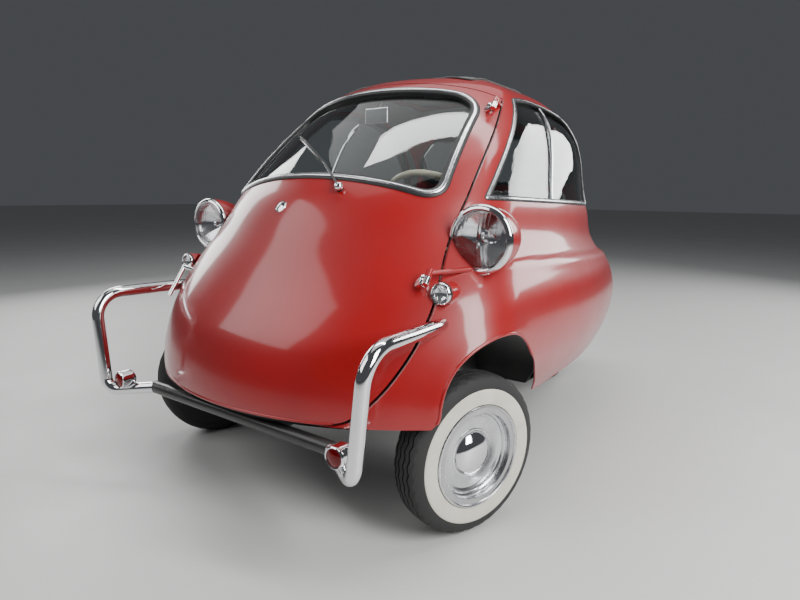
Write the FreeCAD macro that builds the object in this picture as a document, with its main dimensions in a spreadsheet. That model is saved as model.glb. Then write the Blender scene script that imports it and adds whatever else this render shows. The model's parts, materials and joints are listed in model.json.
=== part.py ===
import FreeCAD, Part
import math
import os
from FreeCAD import Vector, Placement, Rotation

# Bubble car: three-abreast cabin with one front door, two steered wheels in front
# and two close-set wheels on a solid rear axle.
# Frame: +Z up, the nose points to -Y, the car's left is +X, and the origin lies on the
# floor under the middle of the overall length. All sizes are in millimetres.

doc = FreeCAD.newDocument("bubble_car")
sheet = doc.addObject("Spreadsheet::Sheet", "Sizes")

# alias, value
sizes = (
    # running gear
    ("datum_y", -715), ("ride_height", 23),
    ("front_axle_y", -690), ("wheelbase", 1500), ("rest_steer_angle", -19),
    ("kingpin_x", 540), ("kingpin_offset", 45), ("kingpin_radius", 13),
    ("rear_wheel_x", 260), ("tyre_radius", 234), ("tyre_width", 110), ("shoulder_radius", 34),
    ("rim_radius", 147), ("bead_radius", 131), ("rim_width", 104), ("sheet_metal", 5),
    ("hubcap_radius", 68), ("hub_radius", 30), ("stub_radius", 12), ("rear_axle_radius", 20),
    ("running_clearance", 0.3), ("moving_clearance", 5), ("backplate_radius", 84), ("wheel_clearance", 6),
    # body shell
    ("wall", 30), ("door_gap", 6), ("body_bottom", 262), ("nose_bottom", 338),
    ("arch_y", 30), ("arch_z", 362), ("arch_radius", 202), ("arch_front_y", -205),
    ("housing_radius", 320), ("housing_y", 50), ("housing_z", 270), ("housing_x", 424),
    ("glass_inset", 9), ("glass_thickness", 6), ("seal_width", 18), ("frame_width", 13),
    ("roof_skin", 7), ("roof_hole_width", 500), ("roof_hole_y", 545), ("roof_hole_length", 480),
    # door and its hinges
    ("hinge_low_x", 514), ("hinge_low_y", -108), ("hinge_low_z", 721),
    ("hinge_high_x", 444), ("hinge_high_y", 385), ("hinge_high_z", 1227),
    ("hinge_radius", 9), ("hinge_length", 24), ("hinge_arm_radius", 7), ("hinge_boss_radius", 14),
    # lamps
    ("headlamp_x", 589), ("headlamp_y", 41), ("headlamp_z", 815), ("headlamp_radius", 94),
    ("headlamp_depth", 190), ("headlamp_ring", 12), ("lens_dome", 14),
    ("signal_x", 550), ("signal_y", -93), ("signal_z", 679), ("signal_radius", 31),
    ("signal_depth", 105), ("tail_lamp_x", 400), ("tail_lamp_z", 520), ("tail_lamp_radius", 32),
    ("low_lamp_x", 470), ("low_lamp_y", -427), ("low_lamp_z", 326), ("low_lamp_radius", 28),
    # bumper tubes
    ("bumper_radius", 19), ("bumper_x", 570), ("bumper_top_z", 601), ("bumper_front_y", -437),
    ("bumper_low_z", 282), ("bumper_low_x", 534), ("outrigger_x", 400), ("outrigger_y", -352),
    ("rear_bumper_x", 330), ("rear_bumper_y", 1870), ("rear_bumper_top_z", 640),
    ("rear_bumper_low_z", 440),
    # frame and floor
    ("rail_x", 150), ("rail_radius", 25), ("rail_end_y", 1600), ("outrigger_radius", 20),
    ("floor_z", 322), ("floor_thickness", 6), ("carrier_x", 500), ("carrier_spread", 68),
    # cabin
    ("seat_y", 640), ("seat_width", 1000), ("seat_depth", 440), ("seat_height", 470),
    ("cushion_thickness", 120), ("backrest_width", 840), ("backrest_height", 520), ("backrest_thickness", 100),
    ("backrest_angle", 14), ("soft_clearance", 0.3), ("shelf_y", 1195), ("shelf_z", 610),
    ("steering_x", 290), ("steering_y", 307), ("steering_z", 867), ("steering_rim_radius", 190),
    ("steering_grip_radius", 10), ("column_length", 570), ("column_radius", 17),
    # engine and tail
    ("engine_x", 325), ("engine_width", 150), ("engine_y", 1215), ("engine_length", 230),
    ("engine_height", 260), ("lid_length", 240), ("lid_height", 220), ("lid_y", 1330), ("lid_gap", 8),
    ("lid_z", 430), ("bracket_width", 240), ("bracket_height", 90), ("bracket_z", 560),
    ("bracket_thickness", 4), ("plate_hole_spacing", 200), ("plate_hole_radius", 3.5),
)
for row, (alias, value) in enumerate(sizes, start=1):
    sheet.set("A%d" % row, alias)
    sheet.set("B%d" % row, str(value))
    sheet.setAlias("B%d" % row, alias)
doc.recompute()
size = {alias: float(sheet.get(alias)) for alias, _ in sizes}
datum_y, lift = size["datum_y"], size["ride_height"]
axle_y = size["front_axle_y"]
wall = size["wall"]
nodes = []


def keep(obj, label):
    """Registers a finished sub-part under its node name."""
    obj.Label = label
    nodes.append(obj)
    return obj


def bind(obj, **expressions):
    for prop, expression in expressions.items():
        obj.setExpression(prop.replace("_dot_", "."), expression)
    return obj


def feature(label, shape):
    """A sub-part whose form needs Part's own functions, placed after its shape is set."""
    obj = doc.addObject("Part::Feature", label)
    obj.Shape = shape
    obj.Placement = shape.Placement
    return keep(obj, label)


def place(obj, x, y, z, axis=None, angle=0):
    """Binds a primitive's position to the sheet, with a fixed turn."""
    if axis is not None:
        obj.Placement = Placement(Vector(), Rotation(Vector(*axis), angle))
    bind(obj, Placement_dot_Base_dot_x=x, Placement_dot_Base_dot_y=y, Placement_dot_Base_dot_z=z)
    return obj


def box(name, length, width, height, x, y, z):
    obj = bind(doc.addObject("Part::Box", name), Length=length, Width=width, Height=height)
    return place(obj, x, y, z)


def cylinder(name, radius, height, x, y, z, axis=None, angle=0):
    obj = bind(doc.addObject("Part::Cylinder", name), Radius=radius, Height=height)
    return place(obj, x, y, z, axis, angle)


def joined(name, members):
    obj = doc.addObject("Part::MultiFuse", name)
    obj.Shapes = members
    return obj


def cut(name, base, tool):
    obj = doc.addObject("Part::Cut", name)
    obj.Base, obj.Tool = base, tool
    return obj


def bar(start, end, radius):
    """A round bar between two points."""
    along = end - start
    return Part.makeCylinder(radius, along.Length, start, along)


def mirrored(shape):
    return shape.mirror(Vector(0, 0, 0), Vector(1, 0, 0))


def both(shape):
    return Part.makeCompound([shape, mirrored(shape)])


# ---------------------------------------------------------------- body form
# Each level is an oval of eight tangent arcs and lines: nose arc, corner arcs, straight
# sides, long rear side arcs, tail arc. Lengths along the car are from the front axle.
# columns: z, half_width, nose_y, nose_radius, corner_radius, rear_wide_y,
#          rear_side_radius, tail_y, rise (upward part of the outward normal)
body_levels = (
    (200, 560, -352, 880, 255, 640, 3400, 1770, 0.0),
    (345, 652, -402, 880, 250, 620, 3400, 1842, 0.0),
    (450, 684, -391, 870, 245, 600, 3500, 1862, 0.0),
    (540, 686, -362, 850, 250, 600, 3500, 1842, 0.0),
    (640, 670, -296, 850, 260, 570, 3300, 1775, 0.2),
    (740, 626, -222, 780, 290, 550, 3000, 1670, 0.45),
    (830, 588, -165, 700, 320, 600, 2800, 1600, 0.4),
    (930, 558, -90, 660, 330, 660, 2500, 1540, 0.35),
    (1050, 534, 40, 680, 320, 780, 2200, 1490, 0.4),
    (1150, 508, 160, 680, 290, 900, 1900, 1440, 0.5),
    (1230, 464, 258, 640, 250, 960, 1600, 1365, 0.68),
    (1304, 384, 348, 520, 190, 980, 1200, 1245, 0.86),
    (1349, 290, 450, 380, 150, 960, 900, 1130, 1.0),
)


def tangent_radius(half_width, length, side_radius):
    """Radius of the end arc that meets a side arc tangentially."""
    top = half_width ** 2 + length ** 2 - 2 * half_width * side_radius
    return top / (2 * (length - side_radius))


def body_outline(level, inset):
    z, half_width, nose, nose_radius, corner, rear_wide, side, tail, rise = level
    inward = inset * math.sqrt(1 - rise ** 2)
    z -= inset * rise
    if level is body_levels[0] and inset > 0:
        z -= 40  # an inner form reaches below the outer one, so the shell is open below
    half_width, nose, tail = half_width - inward, nose + inward, tail - inward
    nose_radius, corner, side = nose_radius - inward, corner - inward, side - inward
    across, along = half_width - corner, nose_radius - corner
    front_wide = nose + nose_radius - math.sqrt(along ** 2 - across ** 2)
    tail_radius = tangent_radius(half_width, tail - rear_wide, side)

    nose_centre = Vector(0, nose + nose_radius, z)
    corner_centre = Vector(half_width - corner, front_wide, z)
    tail_centre = Vector(0, tail - tail_radius, z)
    side_centre = Vector(half_width - side, rear_wide, z)
    front_join = nose_centre + (corner_centre - nose_centre).normalize() * nose_radius
    rear_join = tail_centre + (tail_centre - side_centre).normalize() * tail_radius

    def flip(point):
        return Vector(-point.x, point.y, point.z)

    def middle_of(centre, start, end, radius):
        between = (start + end) * 0.5 - centre
        return centre + between.normalize() * radius

    corner_mid = middle_of(corner_centre, front_join, Vector(half_width, front_wide, z), corner)
    side_mid = middle_of(side_centre, rear_join, Vector(half_width, rear_wide, z), side)
    wide_front, wide_rear = Vector(half_width, front_wide, z), Vector(half_width, rear_wide, z)
    edges = [
        Part.Arc(flip(front_join), Vector(0, nose, z), front_join),
        Part.Arc(front_join, corner_mid, wide_front),
        Part.LineSegment(wide_front, wide_rear),
        Part.Arc(wide_rear, side_mid, rear_join),
        Part.Arc(rear_join, Vector(0, tail, z), flip(rear_join)),
        Part.Arc(flip(rear_join), flip(side_mid), flip(wide_rear)),
        Part.LineSegment(flip(wide_rear), flip(wide_front)),
        Part.Arc(flip(wide_front), flip(corner_mid), flip(front_join)),
    ]
    wire = Part.Wire([edge.toShape() for edge in edges])
    wire.translate(Vector(0, datum_y, lift))
    return wire


def body_solid(inset):
    """The body's closed form, moved inwards by inset."""
    return Part.makeLoft(
        [body_outline(level, inset) for level in body_levels], True, False, False, 3)


outer_form = body_solid(0)
inner_form = body_solid(wall)
glass_form = body_solid(size["glass_inset"])
glass_core = body_solid(size["glass_inset"] + size["glass_thickness"])
fuzz = 0.01
glass_layer = glass_form.cut((glass_core,), fuzz)


def wall_in(region):
    """The part of the body's wall that lies inside a region."""
    return outer_form.common((region,), fuzz).cut((inner_form,), fuzz)


def outside(shape):
    """What stands out of the body's surface."""
    return shape.cut((outer_form,), fuzz)


def glass_in(region):
    """The part of the glass layer that lies inside a region."""
    return glass_layer.common((region,), fuzz)


def at(x, y, z):
    """A point of the body, from its datum: behind the nose frame and above the ride height."""
    return Vector(x, datum_y + y, z + lift)


def on_axle(x, y, z):
    """A point of the running gear: behind the front axle and above the ground."""
    return Vector(x, axle_y + y, z)


def outline_face(points):
    """A face in the car's side view; a point with four numbers starts an arc."""
    edges = []
    for first, second in zip(points, points[1:] + points[:1]):
        start, end = at(0, first[0], first[1]), at(0, second[0], second[1])
        if len(first) > 2:
            edges.append(Part.Arc(start, at(0, first[2], first[3]), end).toShape())
        else:
            edges.append(Part.LineSegment(start, end).toShape())
    return Part.Face(Part.Wire(edges))


def prism(face, start_x, end_x, rounding=None, corners=()):
    """Extrudes a side-view face along X and rounds the named corners."""
    face = face.copy()
    face.translate(Vector(start_x, 0, 0))
    solid = face.extrude(Vector(end_x - start_x, 0, 0))
    if rounding:
        solid = solid.makeFillet(rounding, edges_near(solid, corners))
    return solid


def edges_near(solid, corners):
    """The edges along X that pass through the given side-view points."""
    found = []
    for y, z in corners:
        point = at(0, y, z)
        for edge in solid.Edges:
            first, last = edge.Vertexes[0].Point, edge.Vertexes[-1].Point
            along = abs(first.y - last.y) < 0.01 and abs(first.z - last.z) < 0.01
            if along and abs(first.y - point.y) < 1 and abs(first.z - point.z) < 1:
                found.append(edge)
    return found


# ---------------------------------------------------------------- door outline
nose_bottom = size["nose_bottom"]
door_foot, door_middle, door_head = (-310, nose_bottom), (20, 797), (490, 1255)
door_face = outline_face([
    door_foot + door_middle, door_head, (-230, 1759), (-900, 1759), (-900, nose_bottom)])
door_hole = prism(door_face, -1000, 1000, 45, [door_foot])
door_tool = prism(door_face.makeOffset2D(-size["door_gap"]), -1000, 1000)
foot_edges = [
    edge for edge in door_tool.Edges
    if abs(edge.Vertexes[0].Point.z - lift - nose_bottom - size["door_gap"]) < 0.1
    and abs(edge.Vertexes[-1].Point.z - lift - nose_bottom - size["door_gap"]) < 0.1
    and edge.Length > 1500 and edge.Vertexes[0].Point.y > datum_y - 800]
door_tool = door_tool.makeFillet(45, foot_edges)

# ---------------------------------------------------------------- windscreen opening
screen_base, screen_head = at(0, -25, 983), at(0, 341, 1289)
screen_up = (screen_head - screen_base).normalize()
screen_out = Vector(0, -screen_up.z, screen_up.y)
screen_height = screen_base.distanceToPoint(screen_head)


def on_screen(x, up):
    return screen_base + Vector(x, 0, 0) + screen_up * up


def screen_prism(inset):
    foot, head, rise, crown = 440, 385, 30, 44
    top = screen_height
    corners = [on_screen(-foot, rise), on_screen(foot, rise),
               on_screen(head, top + crown), on_screen(-head, top + crown)]
    face = Part.Face(Part.Wire([
        Part.Arc(corners[0], on_screen(0, 0), corners[1]).toShape(),
        Part.LineSegment(corners[1], corners[2]).toShape(),
        Part.Arc(corners[2], on_screen(0, top), corners[3]).toShape(),
        Part.LineSegment(corners[3], corners[0]).toShape()]))
    face.translate(screen_out * -350)
    solid = face.extrude(screen_out * 700)
    for radius, points in ((60, corners[:2]), (95, corners[2:])):
        picked = []
        for edge in solid.Edges:
            first, last = edge.Vertexes[0].Point, edge.Vertexes[-1].Point
            if abs((last - first).normalize().dot(screen_out)) < 0.999:
                continue
            for point in points:
                if (first - point).cross(screen_out).Length < 1:
                    picked.append(edge)
        solid = solid.makeFillet(radius, picked)
    if inset == 0:
        return solid
    section = solid.slice(screen_out, screen_base.dot(screen_out))[0]
    inner = Part.Face(section).makeOffset2D(-inset)
    inner.translate(screen_out * -350)
    return inner.extrude(screen_out * 700)


screen_hole = screen_prism(0)
screen_pane = screen_prism(size["seal_width"])

# ---------------------------------------------------------------- side and rear windows
window_front_low, window_front_high = (180, 924), (538, 1262)
window_face = outline_face([
    window_front_low, window_front_high + (800, 1272), (1000, 1237, 1168, 1090), (1214, 896)])
window_inner = window_face.makeOffset2D(-size["frame_width"])


def side_window(face, side):
    return prism(face, 200 * side, 900 * side)


def side_glass():
    """One smooth curved sheet on the left flank, larger than the window and as thick as its glass."""
    # columns: body level, first and last place along the flank
    sheet_rows = ((6, 40, 1260), (7, 146, 1260), (8, 273, 1255), (9, 379, 1215), (10, 464, 1140),
                  (11, 542, 1050))
    sections = []
    for index, start_y, end_y in sheet_rows:
        faces = []
        for inset in (size["glass_inset"], size["glass_inset"] + size["glass_thickness"]):
            outline = body_outline(body_levels[index], inset)
            height = outline.BoundBox.ZMin
            points = []
            for step in range(9):
                y = datum_y + start_y + (end_y - start_y) * step / 8
                ray = Part.makeLine(Vector(0, y, height), Vector(1000, y, height))
                points.append(outline.distToShape(ray)[1][0][0])
            faces.append(points)
        outer, inner = faces[0], faces[1][::-1]
        curves = []
        for points in (outer, inner):
            curve = Part.BSplineCurve()
            curve.interpolate(points)
            curves.append(curve.toShape())
        sections.append(Part.Wire([
            curves[0], Part.makeLine(outer[-1], inner[0]),
            curves[1], Part.makeLine(inner[-1], outer[0])]))
    return Part.makeLoft(sections, True, False, False, 3)


def upright_prism(width, low, high, start_y, end_y, radius, inset=0):
    """A rounded opening through the tail, seen from behind."""
    width, low, high, radius = width - 2 * inset, low + inset, high - inset, radius - inset
    block = Part.makeBox(width, end_y - start_y, high - low, at(-width / 2, start_y, low))
    along = [edge for edge in block.Edges
             if abs(edge.Vertexes[0].Point.y - edge.Vertexes[-1].Point.y) > 1]
    return block.makeFillet(radius, along)


rear_window_hole = upright_prism(820, 985, 1225, 1250, 1700, 70)
rear_window_pane = upright_prism(820, 985, 1225, 1250, 1700, 70, size["seal_width"])

# ---------------------------------------------------------------- wheel arches
arch_y, arch_z, arch_radius = size["arch_y"], size["arch_z"], size["arch_radius"]
front_lip = arch_y - arch_radius
slope = math.radians(-37)
arch_rear = (arch_y + arch_radius * math.cos(slope), arch_z - arch_radius * math.sin(slope))
arch_face = outline_face([
    (front_lip, arch_z, arch_y - arch_radius * 0.6, arch_z + arch_radius * 0.8),
    arch_rear, (430, 240), (430, 150), (size["arch_front_y"], 150),
    (size["arch_front_y"], arch_z - 60)])


def wheel_envelope(side):
    """The space a front wheel needs above its hub, at every steering angle."""
    radius, clearance = size["tyre_radius"], size["wheel_clearance"]
    rounding = size["shoulder_radius"]
    flat = size["tyre_width"] / 2 - rounding
    profile = []
    for rise in (0, 40, 80, 110, 140, 165, 190, 215):
        reach = 0
        for step in range(8):
            outward = rounding * step / 8
            round_radius = radius - rounding + math.sqrt(rounding ** 2 - outward ** 2)
            chord = math.sqrt(max(0, round_radius ** 2 - rise ** 2))
            reach = max(reach, math.hypot(size["kingpin_offset"] + flat + outward, chord))
        profile.append(Vector(reach + clearance, 0, radius + rise))
    points = [Vector(0, 0, radius - 120), Vector(profile[0].x, 0, radius - 120)] + profile
    points += [Vector(0, 0, profile[-1].z)]
    face = Part.Face(Part.makePolygon(points + points[:1]))
    space = face.revolve(Vector(), Vector(0, 0, 1), 360)
    space.translate(on_axle(side * size["kingpin_x"], 0, 0))
    return space


# ---------------------------------------------------------------- body panels
under = prism(outline_face([
    (-900, 0), (-900, nose_bottom), (-100, nose_bottom), (0, size["body_bottom"]),
    (1640, size["body_bottom"]), (1700, 400), (2400, 400), (2400, 0)]), -1000, 1000)
roof_face = outline_face([door_head, (1240, 1175), (1240, 1800), (-288, 1800)])
roof_region = prism(roof_face, -1000, 1000)
tail_region = prism(outline_face([
    (1090, 0), (2600, 0), (2600, 1800), (1240, 1800), (1240, 860), (1090, 860)]), -1000, 1000)

windows = side_window(window_face, 1).fuse(side_window(window_face, -1))


def roof_block(width, start_y, end_y, low, high, radius):
    block = Part.makeBox(width, end_y - start_y, high - low, at(-width / 2, start_y, low))
    return block.makeFillet(radius, [
        edge for edge in block.Edges
        if abs(edge.Vertexes[0].Point.z - edge.Vertexes[-1].Point.z) > 1])


roof_top = body_levels[-1][0]
roof_hole = roof_block(
    size["roof_hole_width"], size["roof_hole_y"], size["roof_hole_y"] + size["roof_hole_length"],
    roof_top - 80, roof_top + 80, 50)
feature("roof_frame", wall_in(roof_region.cut(door_hole).cut(windows).cut(roof_hole)))
feature("fabric_roof", roof_block(
    size["roof_hole_width"] + 60, size["roof_hole_y"] - 30,
    size["roof_hole_y"] + size["roof_hole_length"] + 30, roof_top,
    roof_top + size["roof_skin"], 70))

# the lid lies in the right rear flank, square to the surface there
flank_angle = math.degrees(math.asin((size["lid_y"] - 600) / 3500))
flank_x = 684 - 3500 * (1 - math.cos(math.radians(flank_angle)))


def on_flank(box_shape):
    """Turns a shape drawn about the origin (X out, Y rearwards) onto the right flank."""
    box_shape = box_shape.copy()
    box_shape.rotate(Vector(0, 0, 0), Vector(0, 0, 1), 180 - flank_angle)
    box_shape.translate(at(-flank_x, size["lid_y"], size["lid_z"]))
    return box_shape


def lid_block(inset):
    length, height = size["lid_length"] - 2 * inset, size["lid_height"] - 2 * inset
    block = Part.makeBox(200, length, height, Vector(-100, -length / 2, -height / 2))
    return on_flank(block.makeFillet(36 - inset, [
        edge for edge in block.Edges
        if abs(edge.Vertexes[0].Point.x - edge.Vertexes[-1].Point.x) > 1]))


tail = tail_region.cut(roof_region).cut(under).cut(rear_window_hole)
feature("rear_panel", wall_in(tail.cut(lid_block(0))))
engine_lid = wall_in(lid_block(size["lid_gap"]))

for name, side in (("body_side_left", 1), ("body_side_right", -1)):
    half = Part.makeBox(1000, 4000, 2000, Vector(0 if side > 0 else -1000, -2000, 0))
    for tool in (roof_region, tail_region, door_hole, under, side_window(window_face, side),
                 prism(arch_face, 500 * side, 1000 * side), wheel_envelope(side)):
        half = half.cut(tool)
    feature(name, wall_in(half))

# ---------------------------------------------------------------- glass and seals
feature("door_panel", wall_in(door_tool.cut(screen_hole)))
feature("windscreen_seal", wall_in(screen_hole.cut(screen_pane)))
feature("windscreen", glass_in(screen_pane))
window_outer, window_core = side_window(window_face, 1), side_window(window_inner, 1)
feature("side_window_frames", both(wall_in(window_outer.cut(window_core))))
feature("side_windows", both(side_glass().common(window_core)))
feature("rear_window_seal", wall_in(rear_window_hole.cut(rear_window_pane)))
feature("rear_window", glass_in(rear_window_pane))

# ---------------------------------------------------------------- floor and wheel housings
floor_z, floor_thickness = size["floor_z"], size["floor_thickness"]
floor_top = floor_z + floor_thickness
housings = []
for side in (1, -1):
    inner_x, outer_x = size["housing_x"], 720
    centre = at(side * inner_x, size["housing_y"], size["housing_z"])
    axis = Vector(side, 0, 0)
    metal = size["sheet_metal"]
    drum = Part.makeCylinder(size["housing_radius"], outer_x - inner_x, centre, axis)
    hollow = Part.makeCylinder(
        size["housing_radius"] - metal, outer_x - inner_x, centre + axis * metal, axis)
    above = Part.makeBox(2000, 4000, 1000, at(-1000, -1300, floor_top))
    housings.append(drum.cut(hollow).common(above).common(inner_form))
feature("wheel_housings", Part.makeCompound(housings))

floor_slab = Part.makeBox(1400, size["shelf_y"] + 400, floor_thickness, at(-700, -400, floor_z))
floor_slab = floor_slab.common(inner_form)
for side in (1, -1):
    centre = at(side * (size["housing_x"] + size["sheet_metal"]), size["housing_y"], 0)
    reach = size["housing_radius"] - size["sheet_metal"] - 4
    well = Part.makeBox(600, 2 * reach, 1000, Vector(
        centre.x if side > 0 else centre.x - 600, centre.y - reach, 0))
    floor_slab = floor_slab.cut(well)
feature("floor_pan", floor_slab)

# ---------------------------------------------------------------- chassis frame
rail_z = "Sizes.ride_height + Sizes.floor_z - Sizes.rail_radius"
rails = [cylinder(
    "rail_%s" % name, "Sizes.rail_radius", "Sizes.rail_end_y - Sizes.outrigger_y",
    "%d * Sizes.rail_x" % side, "Sizes.datum_y + Sizes.outrigger_y", rail_z, (1, 0, 0), -90)
    for name, side in (("left", 1), ("right", -1))]
outrigger = cylinder(
    "outrigger", "Sizes.outrigger_radius", "2 * Sizes.outrigger_x",
    "-Sizes.outrigger_x", "Sizes.datum_y + Sizes.outrigger_y", rail_z, (0, 1, 0), 90)
axle_tube = cylinder(
    "front_axle_tube", "Sizes.rail_radius", "2 * Sizes.carrier_x",
    "-Sizes.carrier_x", "Sizes.front_axle_y", rail_z, (0, 1, 0), 90)
middle_tube = cylinder(
    "middle_tube", "Sizes.outrigger_radius", "2 * Sizes.rail_x",
    "-Sizes.rail_x", "Sizes.datum_y + Sizes.seat_y", rail_z, (0, 1, 0), 90)
rear_tube = cylinder(
    "rear_tube", "Sizes.outrigger_radius", "2 * Sizes.rail_x",
    "-Sizes.rail_x", "Sizes.datum_y + Sizes.rail_end_y - 40", rail_z, (0, 1, 0), 90)
keep(joined("chassis", rails + [outrigger, axle_tube, middle_tube, rear_tube]), "chassis_frame")

carriers = []
for side in (1, -1):
    post = on_axle(side * (size["carrier_x"] - 14), 0, 0)
    low = size["tyre_radius"] - size["carrier_spread"]
    high = size["tyre_radius"] + size["carrier_spread"]
    pin = side * size["kingpin_x"]
    shape = bar(post + Vector(0, 0, low - 12), post + Vector(0, 0, high + 12), 16)
    for level in (low, high):
        shape = shape.fuse(bar(post + Vector(0, 0, level), on_axle(pin, 0, level), 10))
        shape = shape.fuse(bar(on_axle(pin, 0, level - 12), on_axle(pin, 0, level + 12), 12))
    tube = Part.makeCylinder(
        size["rail_radius"], 2 * size["carrier_x"],
        on_axle(-size["carrier_x"], 0, lift + floor_z - size["rail_radius"]), Vector(1, 0, 0))
    carriers.append(shape.cut(tube))
feature("kingpin_carriers", Part.makeCompound(carriers))

# ---------------------------------------------------------------- wheels
tyre_radius, half_tyre = size["tyre_radius"], size["tyre_width"] / 2
rim_radius, bead_radius, half_rim = size["rim_radius"], size["bead_radius"], size["rim_width"] / 2
metal = size["sheet_metal"]


def revolved(points, arcs):
    """A solid of revolution about X from (x, radius) points; arcs maps a start index to a middle."""
    edges = []
    for index, first in enumerate(points):
        second = points[(index + 1) % len(points)]
        start, end = Vector(first[0], 0, first[1]), Vector(second[0], 0, second[1])
        if index in arcs:
            middle = Vector(arcs[index][0], 0, arcs[index][1])
            edges.append(Part.Arc(start, middle, end).toShape())
        else:
            edges.append(Part.LineSegment(start, end).toShape())
    return Part.Face(Part.Wire(edges)).revolve(Vector(), Vector(1, 0, 0), 360)


def dome_middle(x, radius, height):
    """Middle point of the round profile from (x, radius) to (x + height, 0)."""
    ball = (radius ** 2 + height ** 2) / (2 * abs(height))
    half_turn = math.asin(radius / ball) / 2
    sign = 1 if height > 0 else -1
    return x + sign * (ball * math.cos(half_turn) - ball + abs(height)), ball * math.sin(half_turn)


shoulder = tyre_radius - 12
belly = (rim_radius + shoulder) / 2
seat_edge = half_rim - metal
tyre_shape = revolved(
    [(-seat_edge, bead_radius), (-seat_edge, rim_radius), (-half_tyre + 14, shoulder),
     (half_tyre - 14, shoulder), (seat_edge, rim_radius), (seat_edge, bead_radius)],
    {1: (-half_tyre, belly), 2: (0, tyre_radius), 3: (half_tyre, belly)})
disc_x = 12
rim_shape = revolved(
    [(-half_rim, bead_radius - metal), (half_rim, bead_radius - metal), (half_rim, rim_radius),
     (half_rim - metal, rim_radius), (half_rim - metal, bead_radius),
     (-half_rim + metal, bead_radius), (-half_rim + metal, rim_radius), (-half_rim, rim_radius)],
    {})
disc_shape = revolved(
    [(disc_x, size["hub_radius"]), (disc_x, bead_radius - metal),
     (disc_x + metal, bead_radius - metal), (disc_x + metal, size["hub_radius"])], {})
cap_radius = size["hubcap_radius"]
cap_x = disc_x + metal
hubcap_shape = revolved(
    [(cap_x, 0.0), (cap_x, cap_radius + 32), (cap_x + 3, cap_radius + 32),
     (cap_x + 6, cap_radius), (cap_x + 34, 0.0)], {3: dome_middle(cap_x + 6, cap_radius, 28)})


def hub_shape(bore):
    return revolved(
        [(-1, bore), (disc_x + metal, bore), (disc_x + metal, size["hub_radius"]),
         (-1, size["hub_radius"])], {})


def wheel_place(side):
    """Places a wheel drawn about its own centre, outer face to +X, on its kingpin."""
    centre = Vector(size["kingpin_offset"], 0, 0)
    turn = Rotation(Vector(0, 0, 1), size["rest_steer_angle"])
    if side < 0:
        turn = turn.multiply(Rotation(Vector(0, 0, 1), 180))
    kingpin = on_axle(side * size["kingpin_x"], 0, tyre_radius)
    return Placement(kingpin, turn).multiply(Placement(centre, Rotation()))


def placed(shape, placement):
    shape = shape.copy()
    shape.Placement = placement.multiply(shape.Placement)
    return shape


front_rim = rim_shape.fuse([disc_shape, hub_shape(size["stub_radius"] + 0.3)])
knuckle_body = Part.makeCylinder(
    size["kingpin_radius"], 2 * (size["carrier_spread"] - 12 - size["running_clearance"]),
    Vector(-size["kingpin_offset"], 0, -size["carrier_spread"] + 12 + size["running_clearance"]))
stub = Part.makeCylinder(
    size["stub_radius"], size["kingpin_offset"] + disc_x + metal - 1,
    Vector(-size["kingpin_offset"], 0, 0), Vector(1, 0, 0))
backplate = Part.makeCylinder(
    size["backplate_radius"], 4, Vector(-7, 0, 0), Vector(1, 0, 0))
knuckle_shape = knuckle_body.fuse([stub, backplate])
for name, side in (("left", 1), ("right", -1)):
    spot = wheel_place(side)
    feature("knuckle_" + name, placed(knuckle_shape, spot))
    feature("tyre_front_" + name, placed(tyre_shape, spot))
    feature("rim_front_" + name, placed(front_rim, spot))
    feature("hubcap_front_" + name, placed(hubcap_shape, spot))

rear_tyres, rear_rims, rear_caps = [], [], []
for side in (1, -1):
    turn = Rotation() if side > 0 else Rotation(Vector(0, 0, 1), 180)
    spot = Placement(on_axle(side * size["rear_wheel_x"], size["wheelbase"], tyre_radius), turn)
    rear_tyres.append(placed(tyre_shape, spot))
    rear_rims.append(placed(rim_shape.fuse([disc_shape, hub_shape(size["rear_axle_radius"])]), spot))
    rear_caps.append(placed(hubcap_shape, spot))
feature("rear_tyres", Part.makeCompound(rear_tyres))
feature("rear_rims", Part.makeCompound(rear_rims))
feature("rear_hubcaps", Part.makeCompound(rear_caps))
keep(cylinder(
    "rear_axle", "Sizes.rear_axle_radius", "2 * (Sizes.rear_wheel_x + 17)",
    "-Sizes.rear_wheel_x - 17", "Sizes.front_axle_y + Sizes.wheelbase", "Sizes.tyre_radius",
    (0, 1, 0), 90), "rear_axle")

# ---------------------------------------------------------------- rear suspension
sleeve_outer = cylinder(
    "sleeve_outer", "Sizes.rear_axle_radius + 14", "2 * Sizes.rail_x + 60",
    "-Sizes.rail_x - 30", "Sizes.front_axle_y + Sizes.wheelbase", "Sizes.tyre_radius",
    (0, 1, 0), 90)
sleeve_inner = cylinder(
    "sleeve_inner", "Sizes.rear_axle_radius + Sizes.running_clearance", "2 * Sizes.rail_x + 80",
    "-Sizes.rail_x - 40", "Sizes.front_axle_y + Sizes.wheelbase", "Sizes.tyre_radius",
    (0, 1, 0), 90)
keep(cut("axle_sleeve", sleeve_outer, sleeve_inner), "rear_axle_sleeve")
spring_low = tyre_radius + size["rear_axle_radius"] + 14
spring_high = lift + floor_z - 2 * size["rail_radius"]
springs = []
for side in (1, -1):
    leaf = Part.makeBox(
        50, 560, spring_high - spring_low,
        on_axle(side * size["rail_x"] - 25, size["wheelbase"] - 500, spring_low))
    springs.append(leaf)
feature("rear_springs", Part.makeCompound(springs))

# the space just outside the door, kept clear of what is fixed to the body
door_space = body_solid(-size["moving_clearance"]).common((door_hole,), fuzz)


def beside_door(shape):
    """The largest part of a fitting that is left when the door and its clearance are taken away."""
    return max(outside(shape).cut(door_space).Solids, key=lambda solid: solid.Volume)

# ---------------------------------------------------------------- lamps


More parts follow.
